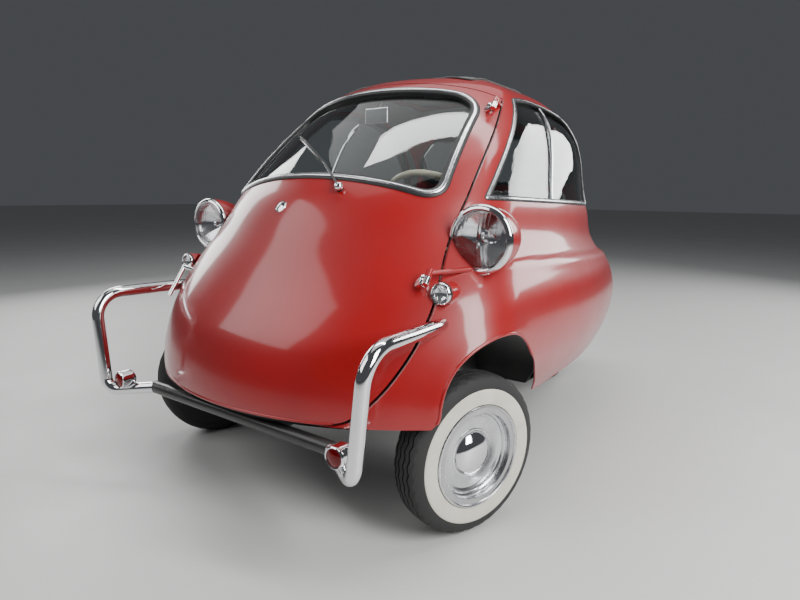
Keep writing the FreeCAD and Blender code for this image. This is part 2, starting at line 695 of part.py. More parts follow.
def lamp(x, y, z, radius, depth, ring, dome):
    """Shell, rim and lens of a round lamp that faces forward."""
    front = at(x, y, z)
    points = [(0, 0.0), (0, radius), (depth, 0.0)]
    turn = Placement(front, Rotation(Vector(0, 0, 1), 90))
    body = placed(revolved(points, {1: (depth * 0.62, radius * 0.7)}), turn)
    rim = placed(revolved(
        [(0, radius - ring), (0, radius), (-8, radius), (-14, radius - ring)], {}), turn)
    lens = placed(revolved(
        [(0, 0.0), (0, radius - ring), (-10, radius - ring), (-10 - dome, 0.0)],
        {2: dome_middle(-10, radius - ring, -dome)}), turn)
    return body, rim, lens


shells, rims, lenses = [], [], []
for side in (1, -1):
    body, rim, lens = lamp(
        side * size["headlamp_x"], size["headlamp_y"], size["headlamp_z"],
        size["headlamp_radius"], size["headlamp_depth"], size["headlamp_ring"], size["lens_dome"])
    shells.append(beside_door(body))
    rims.append(beside_door(rim))
    lenses.append(beside_door(lens))
feature("headlamp_shells", Part.makeCompound(shells))
feature("headlamp_rims", Part.makeCompound(rims))
feature("headlamp_lenses", Part.makeCompound(lenses))
shells, lenses = [], []
for side in (1, -1):
    body, rim, lens = lamp(
        side * size["signal_x"], size["signal_y"], size["signal_z"],
        size["signal_radius"], size["signal_depth"], 5, 7)
    stem = bar(at(side * size["signal_x"], size["signal_y"] + 30, size["signal_z"]),
               at(side * (size["signal_x"] - 90), size["signal_y"] + 110, size["signal_z"]), 12)
    shells.append(beside_door(body.fuse(stem).fuse(rim)))
    lenses.append(outside(lens))
feature("signal_shells", Part.makeCompound(shells))
feature("signal_lenses", Part.makeCompound(lenses))
tail_lamps = []
for side in (1, -1):
    tail_lamps.append(outside(Part.makeCylinder(
        size["tail_lamp_radius"], 150, at(side * size["tail_lamp_x"], 1610, size["tail_lamp_z"]),
        Vector(0, 1, 0))))
feature("tail_lamps", Part.makeCompound(tail_lamps))

# ---------------------------------------------------------------- bumper tubes


def bent_tube(points, radii, radius):
    """A round tube along straight runs joined by tangent arcs."""
    edges, start = [], points[0]
    for index, bend in enumerate(radii, start=1):
        before = (points[index - 1] - points[index]).normalize()
        after = (points[index + 1] - points[index]).normalize()
        half_angle = before.getAngle(after) / 2
        back = bend / math.tan(half_angle)
        first, last = points[index] + before * back, points[index] + after * back
        centre = points[index] + (before + after).normalize() * (bend / math.sin(half_angle))
        middle = centre + (points[index] - centre).normalize() * bend
        edges.append(Part.LineSegment(start, first).toShape())
        edges.append(Part.Arc(first, middle, last).toShape())
        start = last
    edges.append(Part.LineSegment(start, points[-1]).toShape())
    path = Part.Wire(edges)
    along = points[1] - points[0]
    profile = Part.Wire([Part.makeCircle(radius, points[0], along)])
    return path.makePipeShell([profile], True, False, 2)


cross_tube = Part.makeCylinder(
    size["outrigger_radius"], 2 * size["outrigger_x"],
    at(-size["outrigger_x"], size["outrigger_y"], floor_z - size["rail_radius"]), Vector(1, 0, 0))
front_tubes, rear_tubes, low_lamps, low_lenses = [], [], [], []
for side in (1, -1):
    top, low = size["bumper_top_z"], size["bumper_low_z"]
    front_y = size["bumper_front_y"]
    tube = bent_tube([
        at(side * (size["bumper_x"] - 14), -70, top - 4),
        at(side * size["bumper_x"], front_y, top),
        at(side * size["bumper_low_x"], front_y - 3, low),
        at(side * (size["outrigger_x"] - 10), size["outrigger_y"], floor_z - size["rail_radius"])],
        (82, 40), size["bumper_radius"])
    front_tubes.append(outside(tube).cut(cross_tube))
    lamp_front = at(side * size["low_lamp_x"], size["low_lamp_y"], size["low_lamp_z"])
    radius = size["low_lamp_radius"]
    pod = revolved([(0, 0.0), (0, radius), (30, radius), (46, 0.0)], {2: (42, radius * 0.7)})
    low_lamps.append(placed(pod, Placement(lamp_front, Rotation(Vector(0, 0, 1), 90))).cut(tube))
    low_lenses.append(Part.makeCylinder(radius - 4, 6, lamp_front - Vector(0, 6, 0), Vector(0, 1, 0)))
    rear_x, rear_y_out = side * size["rear_bumper_x"], size["rear_bumper_y"]
    tube = bent_tube([
        at(rear_x, 1680, size["rear_bumper_top_z"]), at(rear_x, rear_y_out, size["rear_bumper_top_z"]),
        at(rear_x, rear_y_out, size["rear_bumper_low_z"]), at(rear_x, 1680, size["rear_bumper_low_z"])],
        (60, 60), size["bumper_radius"])
    rear_tubes.append(outside(tube))
feature("low_lamp_bodies", Part.makeCompound(low_lamps))
feature("low_lamp_lenses", Part.makeCompound(low_lenses))
feature("front_bumper_tubes", Part.makeCompound(front_tubes))
feature("rear_bumper_tubes", Part.makeCompound(rear_tubes))

# ---------------------------------------------------------------- door hinges
hinge_low = at(size["hinge_low_x"], size["hinge_low_y"], size["hinge_low_z"])
hinge_high = at(size["hinge_high_x"], size["hinge_high_y"], size["hinge_high_z"])
hinge_axis = (hinge_high - hinge_low).normalize()
# columns: hinge centre, door anchor, body anchor
hinge_table = (
    (hinge_low, at(447, -82, 677), at(572, 20, 735)),
    (hinge_high, at(400, 400, 1200), at(420, 520, 1222)),
)
door_arms, body_arms = [], []
for centre, door_anchor, body_anchor in hinge_table:
    half = size["hinge_length"] / 2 + size["running_clearance"]
    for arms, anchor, offset in (
            (door_arms, door_anchor, -half), (body_arms, body_anchor, half)):
        middle = centre + hinge_axis * offset
        barrel = Part.makeCylinder(
            size["hinge_radius"], size["hinge_length"],
            middle - hinge_axis * (size["hinge_length"] / 2), hinge_axis)
        arm = barrel.fuse(bar(middle, anchor, size["hinge_arm_radius"]))
        if arms is door_arms:
            toward = (anchor - middle).normalize()
            arm = arm.fuse(bar(
                middle + toward * 12, middle + toward * 40, size["hinge_boss_radius"]))
        arms.append(beside_door(arm) if arms is body_arms else outside(arm))
feature("door_hinge_arms", Part.makeCompound(door_arms))
feature("body_hinge_arms", Part.makeCompound(body_arms))

# ---------------------------------------------------------------- door fittings
wiper_base, wiper_tip = at(43, 18, 1021), at(-235, 185, 1134)
along = (wiper_tip - wiper_base)
blade_box = Part.makeBox(along.Length, 8, 300, Vector(0, -4, -150))
across = Vector(0, 0, 1).cross(along).normalize()
blade_box.Placement = Placement(
    wiper_base, Rotation(along, screen_out.cross(along), screen_out, "XZY"))
blade = body_solid(-6).cut(glass_form).common(blade_box)
pivot = at(163, -50, 943)
pivot_out = Vector(0.17, -0.68, 0.71).normalize()
post = outside(Part.makeCylinder(11, 60, pivot - pivot_out * 35, pivot_out))
arm_end = wiper_base + screen_out * 14 + Vector(-6, 3, 3)
arm = bar(pivot + pivot_out * 20, arm_end, 4)
feature("wiper", post.fuse(arm).fuse(blade))

handle_foot = at(-462, -120, 655)
handle_out = Vector(-0.62, -0.70, 0.35).normalize()
handle_head = handle_foot + handle_out * 48
handle = outside(bar(handle_foot - handle_out * 60, handle_head, 8))
feature("door_handle", handle.fuse(bar(
    handle_head + Vector(0, 4, 6), handle_head + Vector(0, -66, -95), 7)))

steering_centre = at(size["steering_x"], size["steering_y"], size["steering_z"])
column_down = Vector(0, -1, -1).normalize()
column_start = 12 + size["running_clearance"]
column = Part.makeCylinder(
    size["column_radius"], size["column_length"] - column_start,
    steering_centre + column_down * column_start, column_down)
pod_level = steering_centre + column_down * 60
pod = Part.makeBox(84, 900, 44, Vector(pod_level.x - 42, pod_level.y - 880, pod_level.z - 22))
gauge = Part.makeCylinder(48, 60, pod_level - Vector(0, 60, 0) + Vector(0, 0, 30), Vector(0, 1, 0.5))
feature("dash_pod", pod.fuse(gauge).cut(column).common(inner_form))
feature("steering_column", column)

grip = size["steering_grip_radius"]
rim_ring = Part.makeTorus(size["steering_rim_radius"], grip)
spokes = [bar(Vector(), Vector(math.cos(math.radians(angle)), math.sin(math.radians(angle)), 0)
              * size["steering_rim_radius"], 6) for angle in (90, 210, 330)]
steering_hub = Part.makeCylinder(34, 26, Vector(0, 0, -12))
wheel_turn = Placement(steering_centre, Rotation(Vector(0, 0, 1), column_down * -1))
feature("steering_wheel", placed(
    rim_ring.fuse(spokes + [steering_hub]).cut(Part.makeCylinder(40, 12, Vector(0, 0, -24))),
    wheel_turn))

mirror_centre = at(20, 312, 1206)
glass_plate = Part.makeBox(100, 12, 56, mirror_centre - Vector(50, 6, 28))
glass_plate = glass_plate.makeFillet(5, glass_plate.Edges)
stem = bar(mirror_centre, at(20, 395, 1320), 5).common(inner_form)
feature("interior_mirror", glass_plate.fuse(stem))

# ---------------------------------------------------------------- cabin
seat_base = box(
    "seat_base", "Sizes.seat_width - 120", "Sizes.seat_depth - 40",
    "Sizes.seat_height - Sizes.floor_z - Sizes.floor_thickness",
    "-(Sizes.seat_width - 120) / 2", "Sizes.datum_y + Sizes.seat_y",
    "Sizes.ride_height + Sizes.floor_z + Sizes.floor_thickness")
keep(seat_base, "seat_base")
cushion = box(
    "cushion_block", "Sizes.seat_width", "Sizes.seat_depth", "Sizes.cushion_thickness",
    "-Sizes.seat_width / 2", "Sizes.datum_y + Sizes.seat_y - 20",
    "Sizes.ride_height + Sizes.seat_height + Sizes.soft_clearance")
keep(cushion, "seat_cushion")
doc.recompute()
back = Part.makeBox(
    size["backrest_width"], size["backrest_thickness"], size["backrest_height"],
    Vector(-size["backrest_width"] / 2, 0, 0))
back = back.makeFillet(36, back.Edges)
back.rotate(Vector(0, 0, 0), Vector(1, 0, 0), -size["backrest_angle"])
back.translate(at(0, size["seat_y"] + size["seat_depth"], size["seat_height"] + 10))
back_gap = back.distToShape(cushion.Shape)[0]
back.translate(Vector(0, size["soft_clearance"] - back_gap, 0))
feature("seat_backrest", back)

shelf_y, shelf_z = size["shelf_y"], size["shelf_z"]
shelf = Part.makeBox(1400, 800, 10, at(-700, shelf_y, shelf_z))
bulkhead = Part.makeBox(1400, 8, shelf_z - floor_top, at(-700, shelf_y, floor_top))
feature("parcel_shelf", shelf.fuse(bulkhead).common(inner_form))

levers = []
for y, length, lean in ((400, 170, 20), (520, 210, 35)):
    foot = at(500, y, 640)
    plate = Part.makeBox(200, 70, 60, foot - Vector(10, 35, 30)).common(inner_form)
    stick = bar(foot, foot + Vector(0, -math.sin(math.radians(lean)) * length,
                                    math.cos(math.radians(lean)) * length), 7)
    knob = Part.makeSphere(16, foot + Vector(
        0, -math.sin(math.radians(lean)) * length, math.cos(math.radians(lean)) * length))
    levers.append(plate.fuse([stick, knob]))
feature("hand_levers", Part.makeCompound(levers))
pedals = []
for x in (60, 125, 190):
    foot = at(x, -130, floor_top)
    pad_centre = at(x, -150, floor_top + 95)
    pad = Part.makeBox(50, 10, 60, pad_centre - Vector(25, 5, 30))
    pedals.append(bar(foot, pad_centre, 6).fuse(pad).cut(floor_slab))
feature("foot_pedals", Part.makeCompound(pedals))

engine = box(
    "engine_block", "Sizes.engine_width", "Sizes.engine_length", "Sizes.engine_height",
    "-Sizes.engine_x - Sizes.engine_width", "Sizes.datum_y + Sizes.engine_y",
    "Sizes.ride_height + Sizes.body_bottom + 32")
keep(engine, "engine")
mount_bar = box(
    "engine_bar", "Sizes.engine_x - Sizes.rail_x", "60", "24",
    "-Sizes.engine_x", "Sizes.datum_y + Sizes.engine_y", rail_z + " - 12")
mount_rail = cylinder(
    "mount_rail", "Sizes.rail_radius", "400", "-Sizes.rail_x",
    "Sizes.datum_y + Sizes.engine_y - 100", rail_z, (1, 0, 0), -90)
keep(cut("engine_mount_bar", mount_bar, mount_rail), "engine_mount")
muffler = Part.makeCylinder(48, 320, at(-160, 1690, 290), Vector(1, 0, 0))
hanger = bar(at(0, size["rail_end_y"] - 40, 297), at(0, 1680, 292), 12)
rear_cross = Part.makeCylinder(
    size["outrigger_radius"], 2 * size["rail_x"],
    at(-size["rail_x"], size["rail_end_y"] - 40, floor_z - size["rail_radius"]), Vector(1, 0, 0))
feature("muffler", muffler.fuse(hanger).cut(rear_cross))

# ---------------------------------------------------------------- tail bracket
width, height = size["bracket_width"], size["bracket_height"]
thick, bracket_y = size["bracket_thickness"], 1852
plate = box(
    "bracket_plate", "Sizes.bracket_width", "Sizes.bracket_thickness", "Sizes.bracket_height",
    "-Sizes.bracket_width / 2", "Sizes.datum_y + %d" % bracket_y,
    "Sizes.ride_height + Sizes.bracket_z - Sizes.bracket_height / 2")
drills = [cylinder(
    "plate_hole_%s" % name, "Sizes.plate_hole_radius", "20",
    "%d * Sizes.plate_hole_spacing / 2" % side, "Sizes.datum_y + %d" % (bracket_y - 5),
    "Sizes.ride_height + Sizes.bracket_z", (1, 0, 0), -90) for name, side in (("left", 1), ("right", -1))]
drilled = cut("bracket_drilled", plate, joined("plate_holes", drills))
doc.recompute()
legs = [outside(bar(at(x, 1700, size["bracket_z"]), at(x, bracket_y, size["bracket_z"]), 9))
        for x in (-50, 50)]
feature("plate_bracket", drilled.Shape.fuse(legs))

# ---------------------------------------------------------------- engine lid and its hinges
lid_top = size["lid_height"] / 2
lid_parts, body_parts = [], []
for y in (-66, 66):
    # columns: list to fill, barrel start, foot of its strap
    for parts, start, strap_foot in (
            (lid_parts, y - 28, lid_top - 30), (body_parts, y + 2, lid_top + 4)):
        barrel = Part.makeCylinder(5, 26, Vector(9, start, lid_top + 1), Vector(0, 1, 0))
        strap = Part.makeBox(9, 26, 28, Vector(-3, start, strap_foot))
        parts.append(on_flank(barrel.fuse(strap)))
lid_shape = engine_lid
for piece in lid_parts:
    lid_shape = lid_shape.fuse(piece.cut(engine_lid).cut(inner_form))
feature("engine_lid", lid_shape)
feature("lid_hinges", Part.makeCompound([outside(piece) for piece in body_parts]))

# ---------------------------------------------------------------- checks and export
doc.recompute()
for obj in doc.Objects:
    if "Invalid" in obj.State or "Error" in obj.State:
        raise RuntimeError("%s failed to compute" % obj.Label)
broken = [node.Label for node in nodes if node.Shape.isNull() or not node.Shape.isValid()]
if broken:
    raise RuntimeError("no valid shape: " + ", ".join(broken))
os.makedirs("parts", exist_ok=True)
for node in nodes:
    print("%-20s %2d solids %9.2f litres" % (
        node.Label, len(node.Shape.Solids), node.Shape.Volume / 1e6))
    node.Shape.exportStep("parts/%s.step" % node.Label)
print(len(nodes), "nodes")
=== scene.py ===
import json
import math
import bmesh
import bpy
import numpy as np
from mathutils import Matrix, Vector
from mathutils.bvhtree import BVHTree


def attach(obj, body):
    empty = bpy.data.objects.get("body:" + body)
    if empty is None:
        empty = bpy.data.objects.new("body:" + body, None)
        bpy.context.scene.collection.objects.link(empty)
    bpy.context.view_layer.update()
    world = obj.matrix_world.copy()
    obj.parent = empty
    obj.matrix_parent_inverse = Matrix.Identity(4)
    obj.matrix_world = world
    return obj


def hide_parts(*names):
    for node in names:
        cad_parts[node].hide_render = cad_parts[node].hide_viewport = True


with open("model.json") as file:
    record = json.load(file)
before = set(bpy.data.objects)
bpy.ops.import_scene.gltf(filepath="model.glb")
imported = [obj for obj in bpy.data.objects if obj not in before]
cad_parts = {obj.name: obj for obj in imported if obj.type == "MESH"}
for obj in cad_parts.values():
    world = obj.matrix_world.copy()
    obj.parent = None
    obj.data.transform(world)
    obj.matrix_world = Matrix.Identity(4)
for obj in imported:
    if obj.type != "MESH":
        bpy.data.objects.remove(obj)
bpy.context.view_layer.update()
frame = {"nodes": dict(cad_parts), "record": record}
nodes = frame["nodes"]
scene = bpy.context.scene

# places are written in millimetres from the body's datum: X to the car's left, Y rearwards, Z up
datum = {"y": -715.0, "ride": 23.0}


def at(x, y, z):
    return Vector((x / 1000, (y + datum["y"]) / 1000, (z + datum["ride"]) / 1000))


# camera, floor and light
cameraSpec = {"place": (1.309, -2.0707, 0.958), "yaw": 35.30, "pitch": 10.55, "roll": 0.59, "lens": 25.54,
              "sensor": 36.0}


def makeCamera():
    yaw, pitch, roll = (math.radians(cameraSpec[k]) for k in ("yaw", "pitch", "roll"))
    ahead = Vector((-math.sin(yaw) * math.cos(pitch), math.cos(yaw) * math.cos(pitch), -math.sin(pitch)))
    right = ahead.cross(Vector((0, 0, 1))).normalized()
    up = right.cross(ahead)
    turnedRight = right * math.cos(roll) + up * math.sin(roll)
    turnedUp = up * math.cos(roll) - right * math.sin(roll)
    data = bpy.data.cameras.new("mainCamera")
    data.lens, data.sensor_width = cameraSpec["lens"], cameraSpec["sensor"]
    cam = bpy.data.objects.new("mainCamera", data)
    matrix = Matrix((turnedRight, turnedUp, -ahead)).transposed().to_4x4()
    matrix.translation = Vector(cameraSpec["place"])
    cam.matrix_world = matrix
    scene.collection.objects.link(cam)
    scene.camera = cam


studio = {
    "world": (0.62, 0.65, 0.70), "worldStrength": 0.11,
    # place, aim, width, height, watts
    "lights": (
        ((3.6, -1.2, 2.7), (0.2, 0.3, 0.6), 1.6, 2.8, 210),
        ((-2.2, -3.6, 3.4), (0, -0.3, 0.7), 3.6, 2.8, 85),
        ((0.62, 0.3, 4.1), (0.3, 0.2, 0.5), 0.50, 4.2, 70),
        ((-0.6, 0.9, 5.2), (0, 0.2, 0.5), 5.0, 5.0, 60),
        ((2.3, 4.4, 2.4), (0.1, 0.8, 0.6), 2.4, 1.8, 90),
        ((-3.9, 0.2, 2.2), (0, 0.1, 0.6), 1.4, 2.4, 60),
    ),
}


def makeStudio():
    world = bpy.data.worlds.new("studio")
    scene.world = world
    world.use_nodes = True
    background = world.node_tree.nodes["Background"]
    background.inputs["Color"].default_value = (*studio["world"], 1)
    background.inputs["Strength"].default_value = studio["worldStrength"]
    for index, (place, aim, width, height, watts) in enumerate(studio["lights"]):
        data = bpy.data.lights.new("softbox%d" % index, "AREA")
        data.shape, data.size, data.size_y, data.energy = "RECTANGLE", width, height, watts
        lamp = bpy.data.objects.new("softbox%d" % index, data)
        lamp.location = place
        lamp.rotation_mode = "QUATERNION"
        lamp.rotation_quaternion = (Vector(aim) - Vector(place)).to_track_quat("-Z", "Y")
        scene.collection.objects.link(lamp)


makeCamera()
makeStudio()
print("camera and studio ready")


# shader groups that several finishes share
def newGroup(name, inputs, outputs):
    group = bpy.data.node_groups.new(name, "ShaderNodeTree")
    for socket, kind, value in inputs:
        item = group.interface.new_socket(name=socket, in_out="INPUT", socket_type=kind)
        item.default_value = value
    for socket, kind in outputs:
        group.interface.new_socket(name=socket, in_out="OUTPUT", socket_type=kind)
    return group, group.nodes.new("NodeGroupInput"), group.nodes.new("NodeGroupOutput")


def makeGrainGroup():  # fine relief: orange peel, cast skin, moulded grain
    group, given, result = newGroup(
        "fineGrain", (("Scale", "NodeSocketFloat", 400.0), ("Depth", "NodeSocketFloat", 0.02)),
        (("Normal", "NodeSocketVector"),))
    add, link = group.nodes.new, group.links.new
    coords, noise, bump = add("ShaderNodeTexCoord"), add("ShaderNodeTexNoise"), add("ShaderNodeBump")
    noise.inputs["Detail"].default_value = 2.0
    bump.inputs["Distance"].default_value = 0.001
    link(coords.outputs["Object"], noise.inputs["Vector"])
    link(given.outputs["Scale"], noise.inputs["Scale"])
    link(given.outputs["Depth"], bump.inputs["Strength"])
    link(noise.outputs["Fac"], bump.inputs["Height"])
    link(bump.outputs["Normal"], result.inputs["Normal"])
    return group


def makePatchGroup():  # slow change of tone, from handling and polish
    group, given, result = newGroup(
        "slowPatches", (("Scale", "NodeSocketFloat", 6.0), ("Low", "NodeSocketFloat", 0.3),
                        ("High", "NodeSocketFloat", 0.7)), (("Mask", "NodeSocketFloat"),))
    add, link = group.nodes.new, group.links.new
    coords, noise, ramp = add("ShaderNodeTexCoord"), add("ShaderNodeTexNoise"), add("ShaderNodeMapRange")
    noise.inputs["Detail"].default_value = 5.0
    noise.inputs["Roughness"].default_value = 0.6
    link(coords.outputs["Object"], noise.inputs["Vector"])
    link(given.outputs["Scale"], noise.inputs["Scale"])
    link(noise.outputs["Fac"], ramp.inputs["Value"])
    link(given.outputs["Low"], ramp.inputs["From Min"])
    link(given.outputs["High"], ramp.inputs["From Max"])
    link(ramp.outputs["Result"], result.inputs["Mask"])
    return group


def makeWeaveGroup():  # crossed threads
    group, given, result = newGroup(
        "threadWeave", (("Scale", "NodeSocketFloat", 500.0), ("Depth", "NodeSocketFloat", 0.4)),
        (("Normal", "NodeSocketVector"), ("Mask", "NodeSocketFloat")))
    add, link = group.nodes.new, group.links.new
    coords, bump, join = add("ShaderNodeTexCoord"), add("ShaderNodeBump"), add("ShaderNodeMath")
    join.operation = "MULTIPLY"
    bump.inputs["Distance"].default_value = 0.0008
    for index, axis in enumerate(("X", "Y")):
        wave = add("ShaderNodeTexWave")
        wave.bands_direction = axis
        wave.inputs["Distortion"].default_value = 0.6
        wave.inputs["Detail"].default_value = 1.0
        link(coords.outputs["Object"], wave.inputs["Vector"])
        link(given.outputs["Scale"], wave.inputs["Scale"])
        link(wave.outputs["Fac"], join.inputs[index])
    link(given.outputs["Depth"], bump.inputs["Strength"])
    link(join.outputs["Value"], bump.inputs["Height"])
    link(bump.outputs["Normal"], result.inputs["Normal"])
    link(join.outputs["Value"], result.inputs["Mask"])
    return group


grainEffect, patchEffect, weaveEffect = makeGrainGroup(), makePatchGroup(), makeWeaveGroup()
print("shader groups ready")

# finishes: base and second colour, lowest and highest roughness, metal, coat, grain as scale and depth,
# and the scale of the slow patches that mix the two colours
finishSpecs = {
    "redPaint": {"base": (0.34, 0.0006, 0.003), "second": (0.30, 0.0005, 0.0025), "rough": (0.36, 0.44),
                 "coat": 0.75, "coatRough": 0.10, "grain": (260, 0.012), "patches": 4},
    "redInside": {"base": (0.30, 0.002, 0.006), "second": (0.25, 0.002, 0.005), "rough": (0.42, 0.55),
                  "coat": 0.2, "grain": (400, 0.05), "patches": 8},
    "chromePlate": {"base": (0.86, 0.86, 0.87), "second": (0.80, 0.80, 0.82), "rough": (0.035, 0.09),
                    "metal": 1.0, "grain": (60, 0.004), "patches": 12},
    "polishedAlloy": {"base": (0.72, 0.73, 0.75), "second": (0.62, 0.63, 0.65), "rough": (0.20, 0.32),
                      "metal": 1.0, "grain": (900, 0.02), "patches": 20},
    "rimPaint": {"base": (0.62, 0.62, 0.63), "second": (0.50, 0.50, 0.52), "rough": (0.12, 0.22),
                 "metal": 1.0, "grain": (300, 0.01), "patches": 14},
    "tyreRubber": {"base": (0.016, 0.016, 0.017), "second": (0.030, 0.029, 0.028), "rough": (0.62, 0.82),
                   "grain": (700, 0.16), "patches": 14},
    "whiteRubber": {"base": (0.74, 0.71, 0.62), "second": (0.64, 0.60, 0.50), "rough": (0.48, 0.62),
                    "grain": (500, 0.10), "patches": 16},
    "sealRubber": {"base": (0.014, 0.014, 0.015), "second": (0.024, 0.024, 0.025), "rough": (0.38, 0.55),
                   "grain": (600, 0.08), "patches": 18},
    "blackEnamel": {"base": (0.012, 0.012, 0.013), "second": (0.026, 0.025, 0.024), "rough": (0.32, 0.50),
                    "coat": 0.25, "grain": (300, 0.05), "patches": 9},
    "castIron": {"base": (0.16, 0.16, 0.165), "second": (0.09, 0.085, 0.08), "rough": (0.45, 0.70),
                 "metal": 0.6, "grain": (260, 0.35), "patches": 18},
    "sootySteel": {"base": (0.20, 0.17, 0.15), "second": (0.09, 0.075, 0.065), "rough": (0.45, 0.70),
                   "metal": 0.8, "grain": (220, 0.25), "patches": 22},
    "ivoryResin": {"base": (0.78, 0.71, 0.54), "second": (0.72, 0.64, 0.46), "rough": (0.18, 0.28),
                   "coat": 0.5, "grain": (200, 0.01), "patches": 10},
    "blackResin": {"base": (0.012, 0.012, 0.012), "second": (0.022, 0.022, 0.022), "rough": (0.22, 0.34),
                   "coat": 0.3, "grain": (500, 0.04), "patches": 12},
    "dialFace": {"base": (0.70, 0.66, 0.55), "second": (0.64, 0.60, 0.49), "rough": (0.42, 0.52),
                 "grain": (300, 0.02), "patches": 10},
    "mirrorGlass": {"base": (0.90, 0.91, 0.92), "second": (0.86, 0.87, 0.88), "rough": (0.01, 0.03),
                    "metal": 1.0, "grain": (60, 0.001), "patches": 8},
    "reflectorBowl": {"base": (0.92, 0.92, 0.93), "second": (0.86, 0.86, 0.87), "rough": (0.07, 0.14),
                      "metal": 1.0, "grain": (120, 0.02), "patches": 30},
}
clothSpecs = {
    "hoodCloth": {"base": (0.012, 0.012, 0.013), "second": (0.030, 0.030, 0.031), "rough": (0.55, 0.78),
                  "weave": (260, 0.35), "sheen": 0.25},
    "seatCloth": {"base": (0.055, 0.052, 0.050), "second": (0.105, 0.100, 0.094), "rough": (0.72, 0.92),
                  "weave": (230, 0.5), "sheen": 0.35},
    "seatPiping": {"base": (0.20, 0.19, 0.17), "second": (0.26, 0.25, 0.22), "rough": (0.45, 0.6),
                   "weave": (500, 0.2), "sheen": 0.1},
    "liningCloth": {"base": (0.16, 0.155, 0.145), "second": (0.21, 0.20, 0.19), "rough": (0.80, 0.95),
                    "weave": (300, 0.35), "sheen": 0.2},
    "floorMat": {"base": (0.020, 0.020, 0.021), "second": (0.036, 0.035, 0.034), "rough": (0.70, 0.88),
                 "weave": (180, 0.6), "sheen": 0.05},
}
glassSpecs = {
    "windowGlass": {"base": (0.90, 0.94, 0.93), "rough": 0.0, "clear": 1.0, "index": 1.45,
                    "grain": (40, 0.002)},
    "lensGlass": {"base": (0.95, 0.96, 0.97), "rough": 0.02, "clear": 1.0, "index": 1.45,
                  "grain": (40, 0.002)},
    "redGlass": {"base": (0.34, 0.004, 0.006), "rough": 0.06, "clear": 0.55, "index": 1.45,
                 "grain": (40, 0.002)},
}


def placeGroup(tree, group, values):
    node = tree.nodes.new("ShaderNodeGroup")
    node.node_tree = group
    for socket, value in values.items():
        node.inputs[socket].default_value = value
    return node


def mixedColour(tree, shader, spec, mask):  # the mask moves both the colour and the roughness
    mix = tree.nodes.new("ShaderNodeMix")
    mix.data_type = "RGBA"
    mix.inputs[6].default_value = (*spec["base"], 1)
    mix.inputs[7].default_value = (*spec["second"], 1)
    tree.links.new(mask, mix.inputs[0])
    tree.links.new(mix.outputs[2], shader.inputs["Base Color"])
    spread = tree.nodes.new("ShaderNodeMapRange")
    spread.inputs["To Min"].default_value, spread.inputs["To Max"].default_value = spec["rough"]
    tree.links.new(mask, spread.inputs["Value"])
    tree.links.new(spread.outputs["Result"], shader.inputs["Roughness"])


def newMaterial(name):
    material = bpy.data.materials.new(name)
    material.use_nodes = True
    return material, material.node_tree, material.node_tree.nodes["Principled BSDF"]


def relief(tree, shader, group, scaleAndDepth):
    node = placeGroup(tree, group, dict(zip(("Scale", "Depth"), scaleAndDepth)))
    tree.links.new(node.outputs["Normal"], shader.inputs["Normal"])
    return node


def makePaint(name, spec):  # paint, metal, rubber and resin
    material, tree, shader = newMaterial(name)
    shader.inputs["Metallic"].default_value = spec.get("metal", 0.0)
    shader.inputs["Coat Weight"].default_value = spec.get("coat", 0.0)
    shader.inputs["Coat Roughness"].default_value = spec.get("coatRough", 0.06)
    patches = placeGroup(tree, patchEffect, {"Scale": spec["patches"]})
    mixedColour(tree, shader, spec, patches.outputs["Mask"])
    relief(tree, shader, grainEffect, spec["grain"])
    return material


def makeCloth(name, spec):
    material, tree, shader = newMaterial(name)
    shader.inputs["Sheen Weight"].default_value = spec["sheen"]
    weave = relief(tree, shader, weaveEffect, spec["weave"])
    mixedColour(tree, shader, spec, weave.outputs["Mask"])
    return material


def makeGlass(name, spec):
    material, tree, shader = newMaterial(name)
    shader.inputs["Base Color"].default_value = (*spec["base"], 1)
    shader.inputs["Roughness"].default_value = spec["rough"]
    shader.inputs["Transmission Weight"].default_value = spec["clear"]
    shader.inputs["IOR"].default_value = spec["index"]
    relief(tree, shader, grainEffect, spec["grain"])
    return material


finishes = {}
for maker, specs in ((makePaint, finishSpecs), (makeCloth, clothSpecs), (makeGlass, glassSpecs)):
    for name, spec in specs.items():
        finishes[name] = maker(name, spec)
print("finishes ready:", len(finishes))

floorSpec = {"half": 40.0, "base": (0.66, 0.66, 0.65), "second": (0.62, 0.62, 0.61), "rough": (0.45, 0.6),
             "patches": 1.5}


def makeFloor():
    mesh = bpy.data.meshes.new("studioFloor")
    far = floorSpec["half"]
    mesh.from_pydata([(-far, -far, 0), (far, -far, 0), (far, far, 0), (-far, far, 0)], [], [(0, 1, 2, 3)])
    floor = bpy.data.objects.new("studioFloor", mesh)
    scene.collection.objects.link(floor)
    material, tree, shader = newMaterial("paleFloor")
    patches = placeGroup(tree, patchEffect, {"Scale": floorSpec["patches"]})
    mixedColour(tree, shader, floorSpec, patches.outputs["Mask"])
    mesh.materials.append(material)


makeFloor()
print("floor ready")


# mesh helpers
def shade(piece, angle=35.0):  # smooth, but sharp where faces meet at more than the angle
    piece.data.polygons.foreach_set("use_smooth", [True] * len(piece.data.polygons))
    piece.data.set_sharp_from_angle(angle=math.radians(angle))
    piece.data.update()


def mend(piece, merge=0.0, turn=True):  # closes seams and poles, then turns the faces outwards
    work = bmesh.new()
    work.from_mesh(piece.data)
    if merge:
        bmesh.ops.remove_doubles(work, verts=work.verts, dist=merge)
    if turn:
        bmesh.ops.recalc_face_normals(work, faces=work.faces)
    work.to_mesh(piece.data)
    work.free()


def paint(piece, *names):
    piece.data.materials.clear()
    for name in names:
        piece.data.materials.append(finishes[name])


def setSlots(mesh, slots):
    mesh.polygons.foreach_set("material_index", np.asarray(slots, np.int32))


